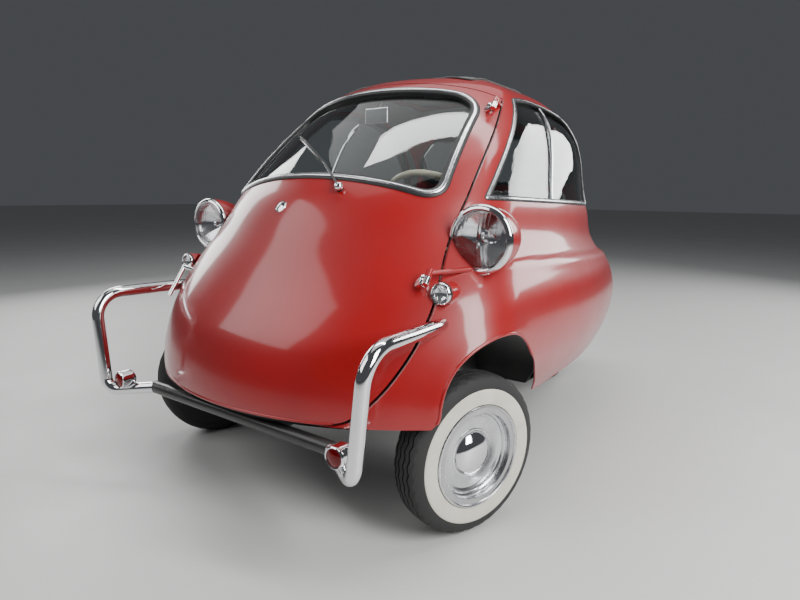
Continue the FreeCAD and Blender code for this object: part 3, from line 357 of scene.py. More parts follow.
def newPiece(name, points, faces, finish, body=None, smooth=35.0, slots=None):
    mesh = bpy.data.meshes.new(name)
    mesh.from_pydata([tuple(p) for p in points], [], [tuple(f) for f in faces])
    mesh.validate()
    piece = bpy.data.objects.new(name, mesh)
    scene.collection.objects.link(piece)
    paint(piece, *(finish if isinstance(finish, tuple) else (finish,)))
    if slots is not None:
        setSlots(mesh, slots)
    mend(piece)
    shade(piece, smooth)
    if body:
        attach(piece, body)
    return piece


def bake(piece):  # modifiers become the piece's own mesh
    bpy.context.view_layer.update()
    graph = bpy.context.evaluated_depsgraph_get()
    old = piece.data
    piece.data = bpy.data.meshes.new_from_object(piece.evaluated_get(graph))
    piece.modifiers.clear()
    bpy.data.meshes.remove(old)
    return piece


def combine(base, tools, operation):
    for tool in tools:
        cut = base.modifiers.new("cut", "BOOLEAN")
        cut.operation, cut.object, cut.solver = operation, tool, "MANIFOLD"
        bake(base)
    return base


def thicken(piece, thickness, offset):
    sheet = piece.modifiers.new("sheet", "SOLIDIFY")
    sheet.thickness, sheet.offset = thickness, offset
    return bake(piece)


def copyOf(piece, name):
    twin = piece.copy()
    twin.data = piece.data.copy()
    twin.name = twin.data.name = name
    scene.collection.objects.link(twin)
    return twin


def discard(*pieces):
    for piece in pieces:
        bpy.data.objects.remove(piece)


def ringFaces(rows, count, closedRows=True, closedRow=True):  # quads between neighbouring rows of points
    faces = []
    for r in range(rows if closedRows else rows - 1):
        here, after = r * count, (r + 1) % rows * count
        for k in range(count if closedRow else count - 1):
            m = (k + 1) % count
            faces.append((here + k, here + m, after + m, after + k))
    return faces


def lathe(name, profile, matrix, finish, body=None, steps=72):  # turns (x, radius) points in mm about X
    points = []
    for step in range(steps):
        angle = 2 * math.pi * step / steps
        for x, radius in profile:
            points.append(matrix @ Vector((
                x / 1000, radius / 1000 * math.cos(angle), radius / 1000 * math.sin(angle))))
    piece = newPiece(name, points, ringFaces(steps, len(profile), True, False), finish)
    mend(piece, 1e-6)
    shade(piece)
    if body:
        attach(piece, body)
    return piece


def joinPieces(name, pieces, body):  # several meshes as one piece, each keeping its own finishes
    points, faces, slots, used = [], [], [], []
    for piece in pieces:
        start = len(points)
        order = []
        for material in piece.data.materials:
            if material.name not in used:
                used.append(material.name)
            order.append(used.index(material.name))
        points += [tuple(v.co) for v in piece.data.vertices]
        for polygon in piece.data.polygons:
            faces.append([start + v for v in polygon.vertices])
            slots.append(order[polygon.material_index])
    discard(*pieces)
    mesh = bpy.data.meshes.new(name)
    mesh.from_pydata(points, [], faces)
    joined = bpy.data.objects.new(name, mesh)
    scene.collection.objects.link(joined)
    paint(joined, *used)
    setSlots(mesh, slots)
    shade(joined, 38)
    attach(joined, body)
    return joined


def localPlace(x, y, z):  # millimetres in a piece's own directions
    return Vector((x / 1000, y / 1000, z / 1000))


# outlines
def arcThrough(first, middle, last, count):  # points on the circle through three points, without the last
    (ax, ay), (bx, by), (cx, cy) = first, middle, last
    d = 2 * (ax * (by - cy) + bx * (cy - ay) + cx * (ay - by))
    ux = ((ax * ax + ay * ay) * (by - cy) + (bx * bx + by * by) * (cy - ay)
          + (cx * cx + cy * cy) * (ay - by)) / d
    uy = ((ax * ax + ay * ay) * (cx - bx) + (bx * bx + by * by) * (ax - cx)
          + (cx * cx + cy * cy) * (bx - ax)) / d
    start, mid, end = (math.atan2(y - uy, x - ux) for x, y in (first, middle, last))
    turn = (end - start) % (2 * math.pi)
    if (mid - start) % (2 * math.pi) > turn:
        turn -= 2 * math.pi
    radius = math.hypot(ax - ux, ay - uy)
    angles = [start + turn * k / count for k in range(count)]
    return [(ux + radius * math.cos(angle), uy + radius * math.sin(angle)) for angle in angles]


def rounded(points, steps=8):  # rounds each corner whose point has a radius as its third value
    plain = [Vector(p[:2]) for p in points]
    result, removed = [], []
    for index, point in enumerate(points):
        if len(point) < 3:
            result.append([plain[index]])
            continue
        here = plain[index]
        before = (plain[index - 1] - here).normalized()
        after = (plain[(index + 1) % len(plain)] - here).normalized()
        half = before.angle(after) / 2
        reach = point[2] / math.tan(half)
        centre = here + (before + after).normalized() * (point[2] / math.sin(half))
        middle = centre + (here - centre).normalized() * point[2]
        first, last = here + before * reach, here + after * reach
        arc = [Vector(p) for p in arcThrough(tuple(first), tuple(middle), tuple(last), steps)] + [last]
        result.append(arc)
        removed.append((here, reach))
    flat = []
    for index, group in enumerate(result):
        for p in group:
            near = len(group) == 1 and any((p - here).length < reach * 1.001 for here, reach in removed)
            if not near:
                flat.append(p)
    return flat


def roundedBox(half, low, high, radius, steps=8):
    corners = [(-half, low, radius), (half, low, radius), (half, high, radius), (-half, high, radius)]
    return rounded(corners, steps)


# a closed block between two copies of an outline; toPoint(u, v, depth) gives the place of its points
def prism(name, outline, toPoint, start, end, finish="redPaint"):
    count = len(outline)
    points = [toPoint(p[0], p[1], start) for p in outline] + [toPoint(p[0], p[1], end) for p in outline]
    faces = [tuple(range(count)), tuple(range(2 * count - 1, count - 1, -1))]
    faces += [(k, (k + 1) % count, count + (k + 1) % count, count + k) for k in range(count)]
    return newPiece(name, points, faces, finish)


def sidePlace(y, z, x):  # outlines drawn from the side
    return at(x, y, z)


def rearPlace(x, z, y):  # outlines drawn from behind
    return at(x, y, z)


def roofPlace(x, y, z):  # outlines drawn from above
    return at(x, y, z)


# body form, in levels from the sill to the roof; each row gives the height, half width, nose, nose radius,
# corner radius, widest place at the rear, side radius at the rear, tail, and how far the surface looks up
bodyLevels = (
    (200, 560, -352, 880, 255, 640, 3400, 1770, 0.0),
    (345, 652, -402, 880, 250, 620, 3400, 1842, 0.0),
    (450, 684, -391, 870, 245, 600, 3500, 1862, 0.0),
    (540, 686, -362, 850, 250, 600, 3500, 1842, 0.0),
    (640, 670, -298, 850, 260, 570, 3300, 1775, 0.2),
    (740, 626, -227, 775, 290, 550, 3000, 1670, 0.45),
    (830, 588, -162, 705, 318, 600, 2800, 1600, 0.4),
    (930, 558, -90, 660, 330, 660, 2500, 1540, 0.35),
    (1050, 534, 40, 680, 320, 770, 2200, 1490, 0.4),
    (1150, 508, 160, 680, 290, 840, 1900, 1440, 0.5),
    (1230, 464, 258, 640, 250, 850, 1600, 1365, 0.68),
    (1304, 384, 348, 520, 190, 800, 1200, 1245, 0.86),
    (1349, 290, 450, 380, 150, 780, 900, 1130, 1.0),
)
shellSpec = {
    "skin": 4.0, "doorGap": 6.0, "under": 40.0,   # the inner form reaches lower, so the skin is open below
    "columns": (34, 20, 34, 42, 34), "rows": 84,  # points along each arc of a level, and rows up the side
    "calm": 60, "calmPush": (0.5, -0.53),
}
arch = {"y": 30.0, "z": 362.0, "radius": 202.0, "frontY": -205.0, "flare": 5.0, "flareWide": 22.0,
        "flareFrom": 500.0, "flareRise": (250.0, 330.0), "heel": math.radians(-37)}
flankSpec = {
    "shoulder": ((60, 738), (135, 738), (292, 735), (718, 714), (1100, 694), (1900, 664)),
    "depth": 15.0, "edge": 20.0, "fade": (70.0, 190.0), "start": (50.0, 170.0), "tailStart": (1450, 1750),
    "ridge": 2.5, "ridgeDrop": 6.0, "ridgeWide": 16.0, "spine": (250, 1150), "widest": 688.0,
}


def outlinePoints(level, inset):  # one side of a level, from the nose round to the tail
    z, half, nose, noseRadius, corner, rearWide, side, tail, rise = level
    inward = inset * math.sqrt(1 - rise ** 2)
    z -= inset * rise
    if level is bodyLevels[0] and inset > 0:
        z -= shellSpec["under"]
    half, nose, tail = half - inward, nose + inward, tail - inward
    noseRadius, corner, side = noseRadius - inward, corner - inward, side - inward
    across, along = half - corner, noseRadius - corner
    frontWide = nose + noseRadius - math.sqrt(along ** 2 - across ** 2)
    length = tail - rearWide
    tailRadius = (half ** 2 + length ** 2 - 2 * half * side) / (2 * (length - side))
    noseMid, cornerMid = np.array([0, nose + noseRadius]), np.array([half - corner, frontWide])
    tailMid, sideMid = np.array([0, tail - tailRadius]), np.array([half - side, rearWide])
    first = math.atan2(*(cornerMid - noseMid)[::-1])
    second = math.atan2(*(tailMid - sideMid)[::-1])
    n1, n2, n3, n4, n5 = shellSpec["columns"]

    def arc(middle, radius, start, end, count):
        angles = start + (end - start) * np.arange(count) / count
        return middle + radius * np.stack([np.cos(angles), np.sin(angles)], 1)

    straight = np.linspace([half, frontWide], [half, rearWide], n3, endpoint=False)
    points = np.concatenate([
        arc(noseMid, noseRadius, -math.pi / 2, first, n1), arc(cornerMid, corner, first, 0, n2), straight,
        arc(sideMid, side, 0, second, n4), arc(tailMid, tailRadius, second, math.pi / 2, n5),
        np.array([[0, tail]])])
    return points, z


def throughKnots(knots, values, places):  # a natural cubic curve through the knots, for every column
    count, gaps = len(knots), np.diff(knots)
    matrix, right = np.zeros((count, count)), np.zeros((count,) + values.shape[1:])
    matrix[0, 0] = matrix[-1, -1] = 1
    for k in range(1, count - 1):
        matrix[k, k - 1:k + 2] = gaps[k - 1], 2 * (gaps[k - 1] + gaps[k]), gaps[k]
        right[k] = 6 * ((values[k + 1] - values[k]) / gaps[k] - (values[k] - values[k - 1]) / gaps[k - 1])
    bend = np.linalg.solve(matrix, right.reshape(count, -1)).reshape(right.shape)
    index = np.clip(np.searchsorted(knots, places) - 1, 0, count - 2)
    h = gaps[index][:, None, None]
    before = (places - knots[index])[:, None, None]
    after = (knots[index + 1] - places)[:, None, None]
    return (bend[index] * after ** 3 / (6 * h) + bend[index + 1] * before ** 3 / (6 * h)
            + (values[index] / h - bend[index] * h / 6) * after
            + (values[index + 1] / h - bend[index + 1] * h / 6) * before)


def smoothStep(low, high, value):
    t = np.clip((value - low) / (high - low), 0, 1)
    return t * t * (3 - 2 * t)


def sculpt(points):  # draws the flank in above the shoulder line and swells it round the wheel arch
    x, y, z = points[..., 0], points[..., 1], points[..., 2]
    ridgeY, ridgeZ = np.array(flankSpec["shoulder"]).T
    above = z - np.interp(y, ridgeY, ridgeZ)
    dip = smoothStep(0, flankSpec["edge"], above) * (1 - smoothStep(*flankSpec["fade"], above))
    strength = smoothStep(*flankSpec["start"], y) * (1 - 0.5 * smoothStep(*flankSpec["tailStart"], y))
    inward = flankSpec["depth"] * dip * strength
    swelling = np.exp(-((above + flankSpec["ridgeDrop"]) / flankSpec["ridgeWide"]) ** 2)
    ridge = flankSpec["ridge"] * swelling * strength
    reach = np.clip(np.hypot(y - arch["y"], z - arch["z"]) - arch["radius"], 0, None)
    flare = arch["flare"] * np.exp(-(reach / arch["flareWide"]) ** 2) * (np.abs(x) > arch["flareFrom"]) \
        * smoothStep(*arch["flareRise"], z)
    middle = np.stack([np.zeros_like(x), np.clip(y, *flankSpec["spine"])], -1)
    away = points[..., :2] - middle
    away = away / np.maximum(np.linalg.norm(away, axis=-1, keepdims=True), 1e-6)
    room = np.minimum(ridge + flare, np.clip(flankSpec["widest"] - np.abs(x), 0, None))
    moved = points.copy()
    moved[..., :2] += away * (room - inward)[..., None]
    return moved


def bodyForm(name, inset):  # the whole egg as a closed block, moved in by the inset
    rows = [outlinePoints(level, inset) for level in bodyLevels]
    halves = np.array([points for points, _ in rows])
    heights = np.array([z for _, z in rows])
    steps = [0.0]
    for k in range(1, len(rows)):
        change = halves[k] - halves[k - 1]
        steps.append(steps[-1] + np.sqrt((change ** 2).sum(1) + (heights[k] - heights[k - 1]) ** 2).mean())
    knots = np.array(steps)
    values = np.concatenate([halves, np.broadcast_to(heights[:, None, None], halves.shape[:2] + (1,))], 2)
    places = np.unique(np.concatenate([np.linspace(0, knots[-1], shellSpec["rows"]), knots[1:-1]]))
    grid = throughKnots(knots, values, places)
    for _ in range(shellSpec["calm"]):  # takes the slight waves out between the knots, without shrinking
        for push in shellSpec["calmPush"]:
            middle = (grid[:-2] + grid[2:]) / 2
            grid[1:-1] += push * (middle - grid[1:-1])
    grid = sculpt(grid)
    mirror = grid[:, -2:0:-1] * np.array([-1, 1, 1])
    grid = np.concatenate([grid, mirror], 1)
    rows, across = grid.shape[:2]
    points = (grid.reshape(-1, 3) + [0, datum["y"], datum["ride"]]) / 1000
    faces = ringFaces(rows, across, False, True)
    faces += [tuple(range(across - 1, -1, -1)), tuple((rows - 1) * across + c for c in range(across))]
    return newPiece(name, points, faces, "redPaint")


# outlines of the openings; an inset in millimetres moves them inwards
archHeel = (arch["y"] + arch["radius"] * math.cos(arch["heel"]),
            arch["z"] - arch["radius"] * math.sin(arch["heel"]))
archOutline = arcThrough(
    (arch["y"] - arch["radius"], arch["z"]),
    (arch["y"] - arch["radius"] * 0.6, arch["z"] + arch["radius"] * 0.8), archHeel, 40)
archOutline += [archHeel, (430, 240), (430, 150), (arch["frontY"], 150), (arch["frontY"], arch["z"] - 60)]

sill = {"height": 338, "tread": 262, "front": -100, "tail": 1640, "tailHeight": 400}
underOutline = [(-900, 0), (-900, sill["height"]), (sill["front"], sill["height"]), (0, sill["tread"]),
                (sill["tail"], sill["tread"]), (1700, sill["tailHeight"]), (2400, sill["tailHeight"]),
                (2400, 0)]
doorEdge = {"foot": (-310, sill["height"]), "middle": (20, 797), "head": (490, 1255), "steps": 60,
            "corner": 45, "roofFront": (-230, 1759), "roofSlope": (-0.573, -0.819)}


def doorOutline(inset):
    edge = arcThrough(doorEdge["foot"], doorEdge["middle"], doorEdge["head"], doorEdge["steps"])
    path = [Vector(p) for p in edge + [doorEdge["head"]]]
    # the edge moves forward and down, the roof line and the sill move in
    moved = []
    for k, p in enumerate(path):
        along = (path[min(k + 1, len(path) - 1)] - path[max(k - 1, 0)]).normalized()
        moved.append(p + Vector((-along.y, along.x)) * inset)
    low, head = sill["height"] + inset, moved[-1] + Vector((-0.2, -1.0)) * inset
    roofY, roofZ = doorEdge["roofFront"]
    slope = Vector(doorEdge["roofSlope"]).normalized()
    outline = [(-900, low), (moved[0].x + inset * 0.75, low, doorEdge["corner"])]
    outline += [tuple(p) for p in moved[1:-1] if p.y > low]
    outline += [tuple(head), (roofY + slope.x * inset, roofZ + slope.y * inset), (-900, roofZ)]
    return rounded(outline)


screenFoot, screenHead = at(0, -25, 983), at(0, 341, 1289)
screenUp = (screenHead - screenFoot).normalized()
screenOut = Vector((0, -screenUp.z, screenUp.y))
screenTall = (screenHead - screenFoot).length * 1000
screenSpec = {"foot": 440, "head": 385, "rise": 30, "crown": 44, "footCorner": 60, "headCorner": 95}


def screenOutline(inset):
    foot, head = screenSpec["foot"] - inset, screenSpec["head"] - inset
    rise, crown = screenSpec["rise"] + inset, screenTall + screenSpec["crown"] - inset
    footCorner, headCorner = screenSpec["footCorner"] - inset, screenSpec["headCorner"] - inset
    low = arcThrough((-foot, rise), (0, inset), (foot, rise), 24)[1:]
    high = arcThrough((head, crown), (0, screenTall - inset), (-head, crown), 24)[1:]
    return rounded([(-foot, rise, footCorner)] + low + [(foot, rise, footCorner), (head, crown, headCorner)]
                   + high + [(-head, crown, headCorner)], 10)


def screenPlace(x, up, out):
    return screenFoot + Vector((x / 1000, 0, 0)) + screenUp * (up / 1000) + screenOut * (out / 1000)


windowSpec = {"low": (180, 924), "high": (538, 1262), "crown": (800, 1272), "top": (1000, 1237),
              "shoulder": (1168, 1090), "rear": (1214, 896), "middle": (760, 1080)}


def windowOutline(inset):
    low, high, crown, top, shoulder, rear, middle = (Vector(p) for p in windowSpec.values())
    outline = [tuple(low)] + arcThrough(high, crown, top, 16)
    outline += arcThrough(top, shoulder, rear, 20) + [tuple(rear)]
    if inset == 0:
        return outline
    path = [Vector(p) for p in outline]
    moved = []
    for k, p in enumerate(path):
        before, after = (p - path[k - 1]).normalized(), (path[(k + 1) % len(path)] - p).normalized()
        normal = Vector((-(before + after).y, (before + after).x)).normalized()
        if normal.dot(middle - p) < 0:
            normal.negate()
        stretch = 1 / max(0.5, abs(Vector((-after.y, after.x)).dot(normal)))
        moved.append(tuple(p + normal * inset * stretch))
    return moved


def insideWindow(y, z):  # within 3 mm of the side window's edge, or inside it
    outline = windowOutline(-3)
    inside = False
    for k, (ya, za) in enumerate(outline):
        yb, zb = outline[k - 1]
        if (za > z) != (zb > z) and y < (yb - ya) * (z - za) / (zb - za) + ya:
            inside = not inside
    return inside


rearWindow = {"width": 820, "low": 985, "high": 1225, "radius": 70}


def rearOutline(inset):
    return roundedBox(rearWindow["width"] / 2 - inset, rearWindow["low"] + inset, rearWindow["high"] - inset,
                      rearWindow["radius"] - inset, 10)


# the lid lies on the right side, flat on the long rear arc of the level nearest to it
lid = {"y": 1330.0, "z": 430.0, "length": 240.0, "height": 220.0, "gap": 8.0, "corner": 36.0}
lidSide = {"half": bodyLevels[2][1], "widest": bodyLevels[2][5], "radius": bodyLevels[2][6]}
lidAngle = math.asin((lid["y"] - lidSide["widest"]) / lidSide["radius"])
lidX = lidSide["half"] - lidSide["radius"] * (1 - math.cos(lidAngle))
lidTurn = Matrix.Rotation(math.pi - lidAngle, 4, "Z")


def lidPlace(y, z, x):
    return at(-lidX, lid["y"], lid["z"]) + lidTurn @ Vector((x / 1000, y / 1000, z / 1000))


def lidOutline(inset):
    tall = lid["height"] / 2 - inset
    return roundedBox(lid["length"] / 2 - inset, -tall, tall, lid["corner"] - inset)


roofHole = {"width": 500, "front": 545, "back": 1025, "radius": 50}


def roofOutline(inset):
    return roundedBox(roofHole["width"] / 2 - inset, roofHole["front"] + inset, roofHole["back"] - inset,
                      roofHole["radius"] - inset)


# the two forms and the blocks that cut them
outerForm, innerForm = bodyForm("outerForm", 0), bodyForm("innerForm", shellSpec["skin"])

# how deep each cutting block reaches, in the direction that its outline is pushed
cutReach = {"across": 1000, "screen": 350, "rear": (1250, 1700), "roof": (1200, 1500), "lid": 100,
            "window": (200, 900), "arch": (500, 1000)}


def acrossTool(name, outline):
    return prism(name, outline, sidePlace, -cutReach["across"], cutReach["across"])


def bothSides(name, outline, depths):
    return [prism(name, outline, sidePlace, depths[0] * side, depths[1] * side) for side in (1, -1)]


doorHole = acrossTool("doorHole", doorOutline(0))
doorTool = acrossTool("doorTool", doorOutline(shellSpec["doorGap"]))
screenTool = prism("screenTool", screenOutline(0), screenPlace, -cutReach["screen"], cutReach["screen"])
rearTool = prism("rearTool", rearOutline(0), rearPlace, *cutReach["rear"])
underTool = acrossTool("underTool", underOutline)
roofTool = prism("roofTool", roofOutline(0), roofPlace, *cutReach["roof"])
lidHole = prism("lidHole", lidOutline(0), lidPlace, -cutReach["lid"], cutReach["lid"])
lidTool = prism("lidTool", lidOutline(lid["gap"]), lidPlace, -cutReach["lid"], cutReach["lid"])
sideTools = bothSides("sideTool", windowOutline(0), cutReach["window"])
archTools = bothSides("archTool", archOutline, cutReach["arch"])

wholeSkin = combine(copyOf(outerForm, "wholeSkin"), [innerForm], "DIFFERENCE")
doorSkin = combine(copyOf(wholeSkin, "doorSkin"), [doorTool], "INTERSECT")
combine(doorSkin, [screenTool, underTool], "DIFFERENCE")
lidSkin = combine(copyOf(wholeSkin, "lidSkin"), [lidTool], "INTERSECT")
bodySkin = combine(wholeSkin, [doorHole, underTool, rearTool, roofTool, lidHole] + sideTools + archTools,
                   "DIFFERENCE")
bodySkin.name = bodySkin.data.name = "bodySkin"
print("skins cut:", len(bodySkin.data.polygons), len(doorSkin.data.polygons), len(lidSkin.data.polygons))


def treeOf(piece):
    return BVHTree.FromPolygons([v.co.copy() for v in piece.data.vertices],
                                [tuple(p.vertices) for p in piece.data.polygons])


outerTree = treeOf(outerForm)


def againstForm(polygon, nearest, facingLimit):  # whether a face lies on the outer form, and looks its way
    _, normal, _, distance = outerTree.find_nearest(polygon.center)
    return distance < nearest, normal.dot(polygon.normal) > facingLimit


for piece in (bodySkin, doorSkin, lidSkin):  # gloss outside, a duller coat inside
    paint(piece, "redPaint", "redInside")
    setSlots(piece.data, [0 if any(againstForm(face, 0.0015, 0.5)) else 1 for face in piece.data.polygons])
    shade(piece, 32)
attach(bodySkin, "car_body")
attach(doorSkin, "front_door")
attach(lidSkin, "engine_lid")
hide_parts("body_side_left", "body_side_right", "roof_frame", "rear_panel")
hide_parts("door_panel")
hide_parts("engine_lid")
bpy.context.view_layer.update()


# runs along edges, and what is laid on them
def steadyRun(points, closed, step):  # even spacing, then a little smoothing
    path = np.array(points)
    if closed:
        path = np.vstack([path, path[:1]])
    lengths = np.r_[0, np.cumsum(np.linalg.norm(np.diff(path, axis=0), axis=1))]
    count = max(6, int(round(lengths[-1] * 1000 / step)))
    places = np.linspace(0, lengths[-1], count + 1)
    path = np.stack([np.interp(places, lengths, path[:, k]) for k in range(3)], 1)
    if closed:
        path = path[:-1]
    for _ in range(3):
        before, after = np.roll(path, 1, 0), np.roll(path, -1, 0)
        softer = path * 0.5 + (before + after) * 0.25
        if not closed:
            softer[0], softer[-1] = path[0], path[-1]
        path = softer
    return path


edgeSpec = {"step": 7.0, "shortest": 5}


def rimRuns(piece, wanted=None):  # runs of the edge where a skin's outer face stops, longest first
    mesh = piece.data
    flags = [all(againstForm(polygon, 0.0012, 0.6)) for polygon in mesh.polygons]
    sides = {}
    for polygon, flag in zip(mesh.polygons, flags):
        for key in polygon.edge_keys:
            sides.setdefault(key, []).append(flag)
    links = {}
    for (a, b), pair in sides.items():
        if len(pair) == 2 and pair[0] != pair[1]:
            middle = (mesh.vertices[a].co + mesh.vertices[b].co) / 2 * 1000
            if wanted is None or wanted(middle.x, middle.y - datum["y"], middle.z - datum["ride"]):
                links.setdefault(a, []).append(b)
                links.setdefault(b, []).append(a)
    runs, seen = [], set()
    for start in sorted(links, key=lambda v: (len(links[v]) != 1, v)):
        if start in seen:
            continue
        chain, here = [start], start
        seen.add(start)
        while True:
            ahead = [v for v in links[here] if v not in seen]
            if not ahead:
                break
            here = ahead[0]
            seen.add(here)
            chain.append(here)
        if len(chain) > edgeSpec["shortest"]:
            closed = chain[0] in links[chain[-1]] and len(links[chain[0]]) > 1
            points = [tuple(mesh.vertices[v].co) for v in chain]
            runs.append((steadyRun(points, closed, edgeSpec["step"]), closed))
    runs.sort(key=lambda run: -len(run[0]))
    return runs


def surfaceNormals(path, closed):
    normals = np.array([tuple(outerTree.find_nearest(Vector(p))[1]) for p in path])
    for _ in range(4):
        before, after = np.roll(normals, 1, 0), np.roll(normals, -1, 0)
        if not closed:
            before[0], after[-1] = normals[0], normals[-1]
        normals = normals * 0.5 + (before + after) * 0.25
        normals /= np.linalg.norm(normals, axis=1, keepdims=True)
    return normals


# carries a section along a path; the section is (across, out) in millimetres, and across is positive
# towards the middle of the run or towards a given place
def sweep(name, path, normals, closed, section, finish, body=None, towards=None):
    path, normals = np.asarray(path, float), np.asarray(normals, float)
    before, after = np.roll(path, 1, 0), np.roll(path, -1, 0)
    if not closed:
        before[0], after[-1] = path[0], path[-1]
    along = after - before
    along /= np.linalg.norm(along, axis=1, keepdims=True)
    across = np.cross(along, normals)
    across /= np.linalg.norm(across, axis=1, keepdims=True)
    middle = path.mean(0) if towards is None else np.array(towards)
    if ((middle - path) * across).sum() < 0:
        across = -across
    out = np.cross(across, along)
    out *= np.sign((out * normals).sum(1))[:, None]
    count, rows = len(section), len(path)
    points = [path[r] + (across[r] * a + out[r] * b) / 1000 for r in range(rows) for a, b in section]
    faces = ringFaces(rows, count, closed, True)
    if not closed:
        faces += [tuple(range(count)), tuple((rows - 1) * count + k for k in range(count))]
    return newPiece(name, points, faces, finish, body, 40)


def circleSection(radius, across=0.0, out=0.0, count=12):
    turns = [2 * math.pi * k / count for k in range(count)]
    return [(across + radius * math.cos(turn), out + radius * math.sin(turn)) for turn in turns]


def beadOn(name, runs, section, finish, body, towards=None):
    pieces = [sweep(name, path, surfaceNormals(path, closed), closed, section, finish, None, towards)
              for path, closed in runs]
    return joinPieces(name, pieces, body)


def rayOnto(start, direction):
    place, normal, _, _ = outerTree.ray_cast(start, Vector(direction))
    return place, normal


def largestPart(piece):  # drops the crumbs that a cut leaves
    work = bmesh.new()
    work.from_mesh(piece.data)
    left, best = set(work.verts), []
    while left:
        stack = [left.pop()]
        island = [stack[0]]
        while stack:
            for edge in stack.pop().link_edges:
                for vert in edge.verts:
                    if vert in left:
                        left.discard(vert)
                        stack.append(vert)
                        island.append(vert)
        if len(island) > len(best):
            best = island
    keepers = set(best)
    bmesh.ops.delete(work, geom=[v for v in work.verts if v not in keepers], context="VERTS")
    work.to_mesh(piece.data)
    work.free()
    return piece


# one tree for everything that repeats: screws, louvres and dial marks
def makeRepeatTree():
    tree = bpy.data.node_groups.new("repeatOnPoints", "GeometryNodeTree")
    face = tree.interface
    face.new_socket(name="Geometry", in_out="INPUT", socket_type="NodeSocketGeometry")
    face.new_socket(name="Item", in_out="INPUT", socket_type="NodeSocketObject")
    face.new_socket(name="Finish", in_out="INPUT", socket_type="NodeSocketMaterial")
    face.new_socket(name="Size", in_out="INPUT", socket_type="NodeSocketFloat").default_value = 1.0
    face.new_socket(name="Geometry", in_out="OUTPUT", socket_type="NodeSocketGeometry")
    add, link = tree.nodes.new, tree.links.new
    given, result = add("NodeGroupInput"), add("NodeGroupOutput")
    info, onPoints = add("GeometryNodeObjectInfo"), add("GeometryNodeInstanceOnPoints")
    turn = add("GeometryNodeInputNamedAttribute")
    real, coat = add("GeometryNodeRealizeInstances"), add("GeometryNodeSetMaterial")
    turn.data_type = "FLOAT_VECTOR"
    turn.inputs["Name"].default_value = "turn"
    link(given.outputs["Geometry"], onPoints.inputs["Points"])
    link(given.outputs["Item"], info.inputs["Object"])
    link(info.outputs["Geometry"], onPoints.inputs["Instance"])
    link(turn.outputs["Attribute"], onPoints.inputs["Rotation"])
    link(given.outputs["Size"], onPoints.inputs["Scale"])
    link(onPoints.outputs["Instances"], real.inputs["Geometry"])
    link(real.outputs["Geometry"], coat.inputs["Geometry"])
    link(given.outputs["Finish"], coat.inputs["Material"])
    link(coat.outputs["Geometry"], result.inputs["Geometry"])
    return tree


repeatTree = makeRepeatTree()


def repeat(name, item, places, finish, body, size=1.0):  # copies of an item at each place, as one piece
    mesh = bpy.data.meshes.new(name)
    mesh.from_pydata([tuple(p.translation) for p in places], [], [])
    turns = mesh.attributes.new("turn", "FLOAT_VECTOR", "POINT")
    turns.data.foreach_set("vector", [v for p in places for v in p.to_euler()])
    piece = bpy.data.objects.new(name, mesh)
    scene.collection.objects.link(piece)
    copies = piece.modifiers.new("repeat", "NODES")
    copies.node_group = repeatTree
    inputs = {socket.name: socket.identifier for socket in repeatTree.interface.items_tree
              if socket.in_out == "INPUT"}
    copies[inputs["Item"]] = item
    copies[inputs["Finish"]] = finishes[finish]
    copies[inputs["Size"]] = size
    bake(piece)
    shade(piece)
    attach(piece, body)
    return piece


def facing(place, direction, spin=0.0):  # local Z along a direction
    turn = Vector(direction).to_track_quat("Z", "Y").to_matrix().to_4x4()
    matrix = turn @ Matrix.Rotation(spin, 4, "Z")
    matrix.translation = Vector(place)
    return matrix


def spindle(place, direction):  # local X along a direction, for what is turned on the lathe
    return facing(place, direction) @ Matrix.Rotation(-math.pi / 2, 4, "Y")


screwSpec = {"rings": ((4.0, 0.0), (4.0, 0.9), (3.3, 1.7), (2.0, 2.2)), "sides": 12, "slotHalf": 0.7,
             "slotDeep": 0.9}


def makeScrew():  # dome head with a driver slot, drawn on Z
    points, sides, rings = [], screwSpec["sides"], screwSpec["rings"]
    for radius, z in rings:
        for k in range(sides):
            angle = 2 * math.pi * k / sides
            inSlot = abs(radius * math.sin(angle)) < screwSpec["slotHalf"] and z > 1
            low = screwSpec["slotDeep"] if inSlot else 0
            points.append(localPlace(radius * math.cos(angle), radius * math.sin(angle), z - low))
    faces = ringFaces(len(rings), sides, False, True)
    faces += [tuple(range(sides - 1, -1, -1)), tuple((len(rings) - 1) * sides + k for k in range(sides))]
    return newPiece("screwHead", points, faces, "chromePlate")


screwHead = makeScrew()


# trim that follows the edges of the skins
trimSpec = {"archLip": 4.5, "sillLip": 3.2, "doorRoll": 4.5, "rubber": 2.6, "archNear": 2.5, "archFar": 4.0,
            "sillTop": 345, "sillFront": 60, "rollTop": 347, "gapLow": 350, "gapBack": 640,
            "shortestSill": 60, "shortestGap": 40}
windowZone = {"front": 165, "back": 1230, "low": 880, "side": 380}


def fromArch(y, z):
    return abs(math.hypot(y - arch["y"], z - arch["z"]) - arch["radius"])


def onArch(side):
    return lambda x, y, z: x * side > 450 and fromArch(y, z) < trimSpec["archNear"]


def onSill(x, y, z):
    atArch = abs(x) > 450 and fromArch(y, z) < trimSpec["archNear"]
    return z < trimSpec["sillTop"] and y > trimSpec["sillFront"] and not atArch


def inDoorGap(x, y, z):
    if z <= trimSpec["gapLow"] or y >= trimSpec["gapBack"] or fromArch(y, z) <= trimSpec["archFar"]:
        return False
    if z <= windowZone["low"] or abs(x) <= windowZone["side"]:
        return True
    return not (windowZone["front"] < y < windowZone["back"] and insideWindow(y, z))


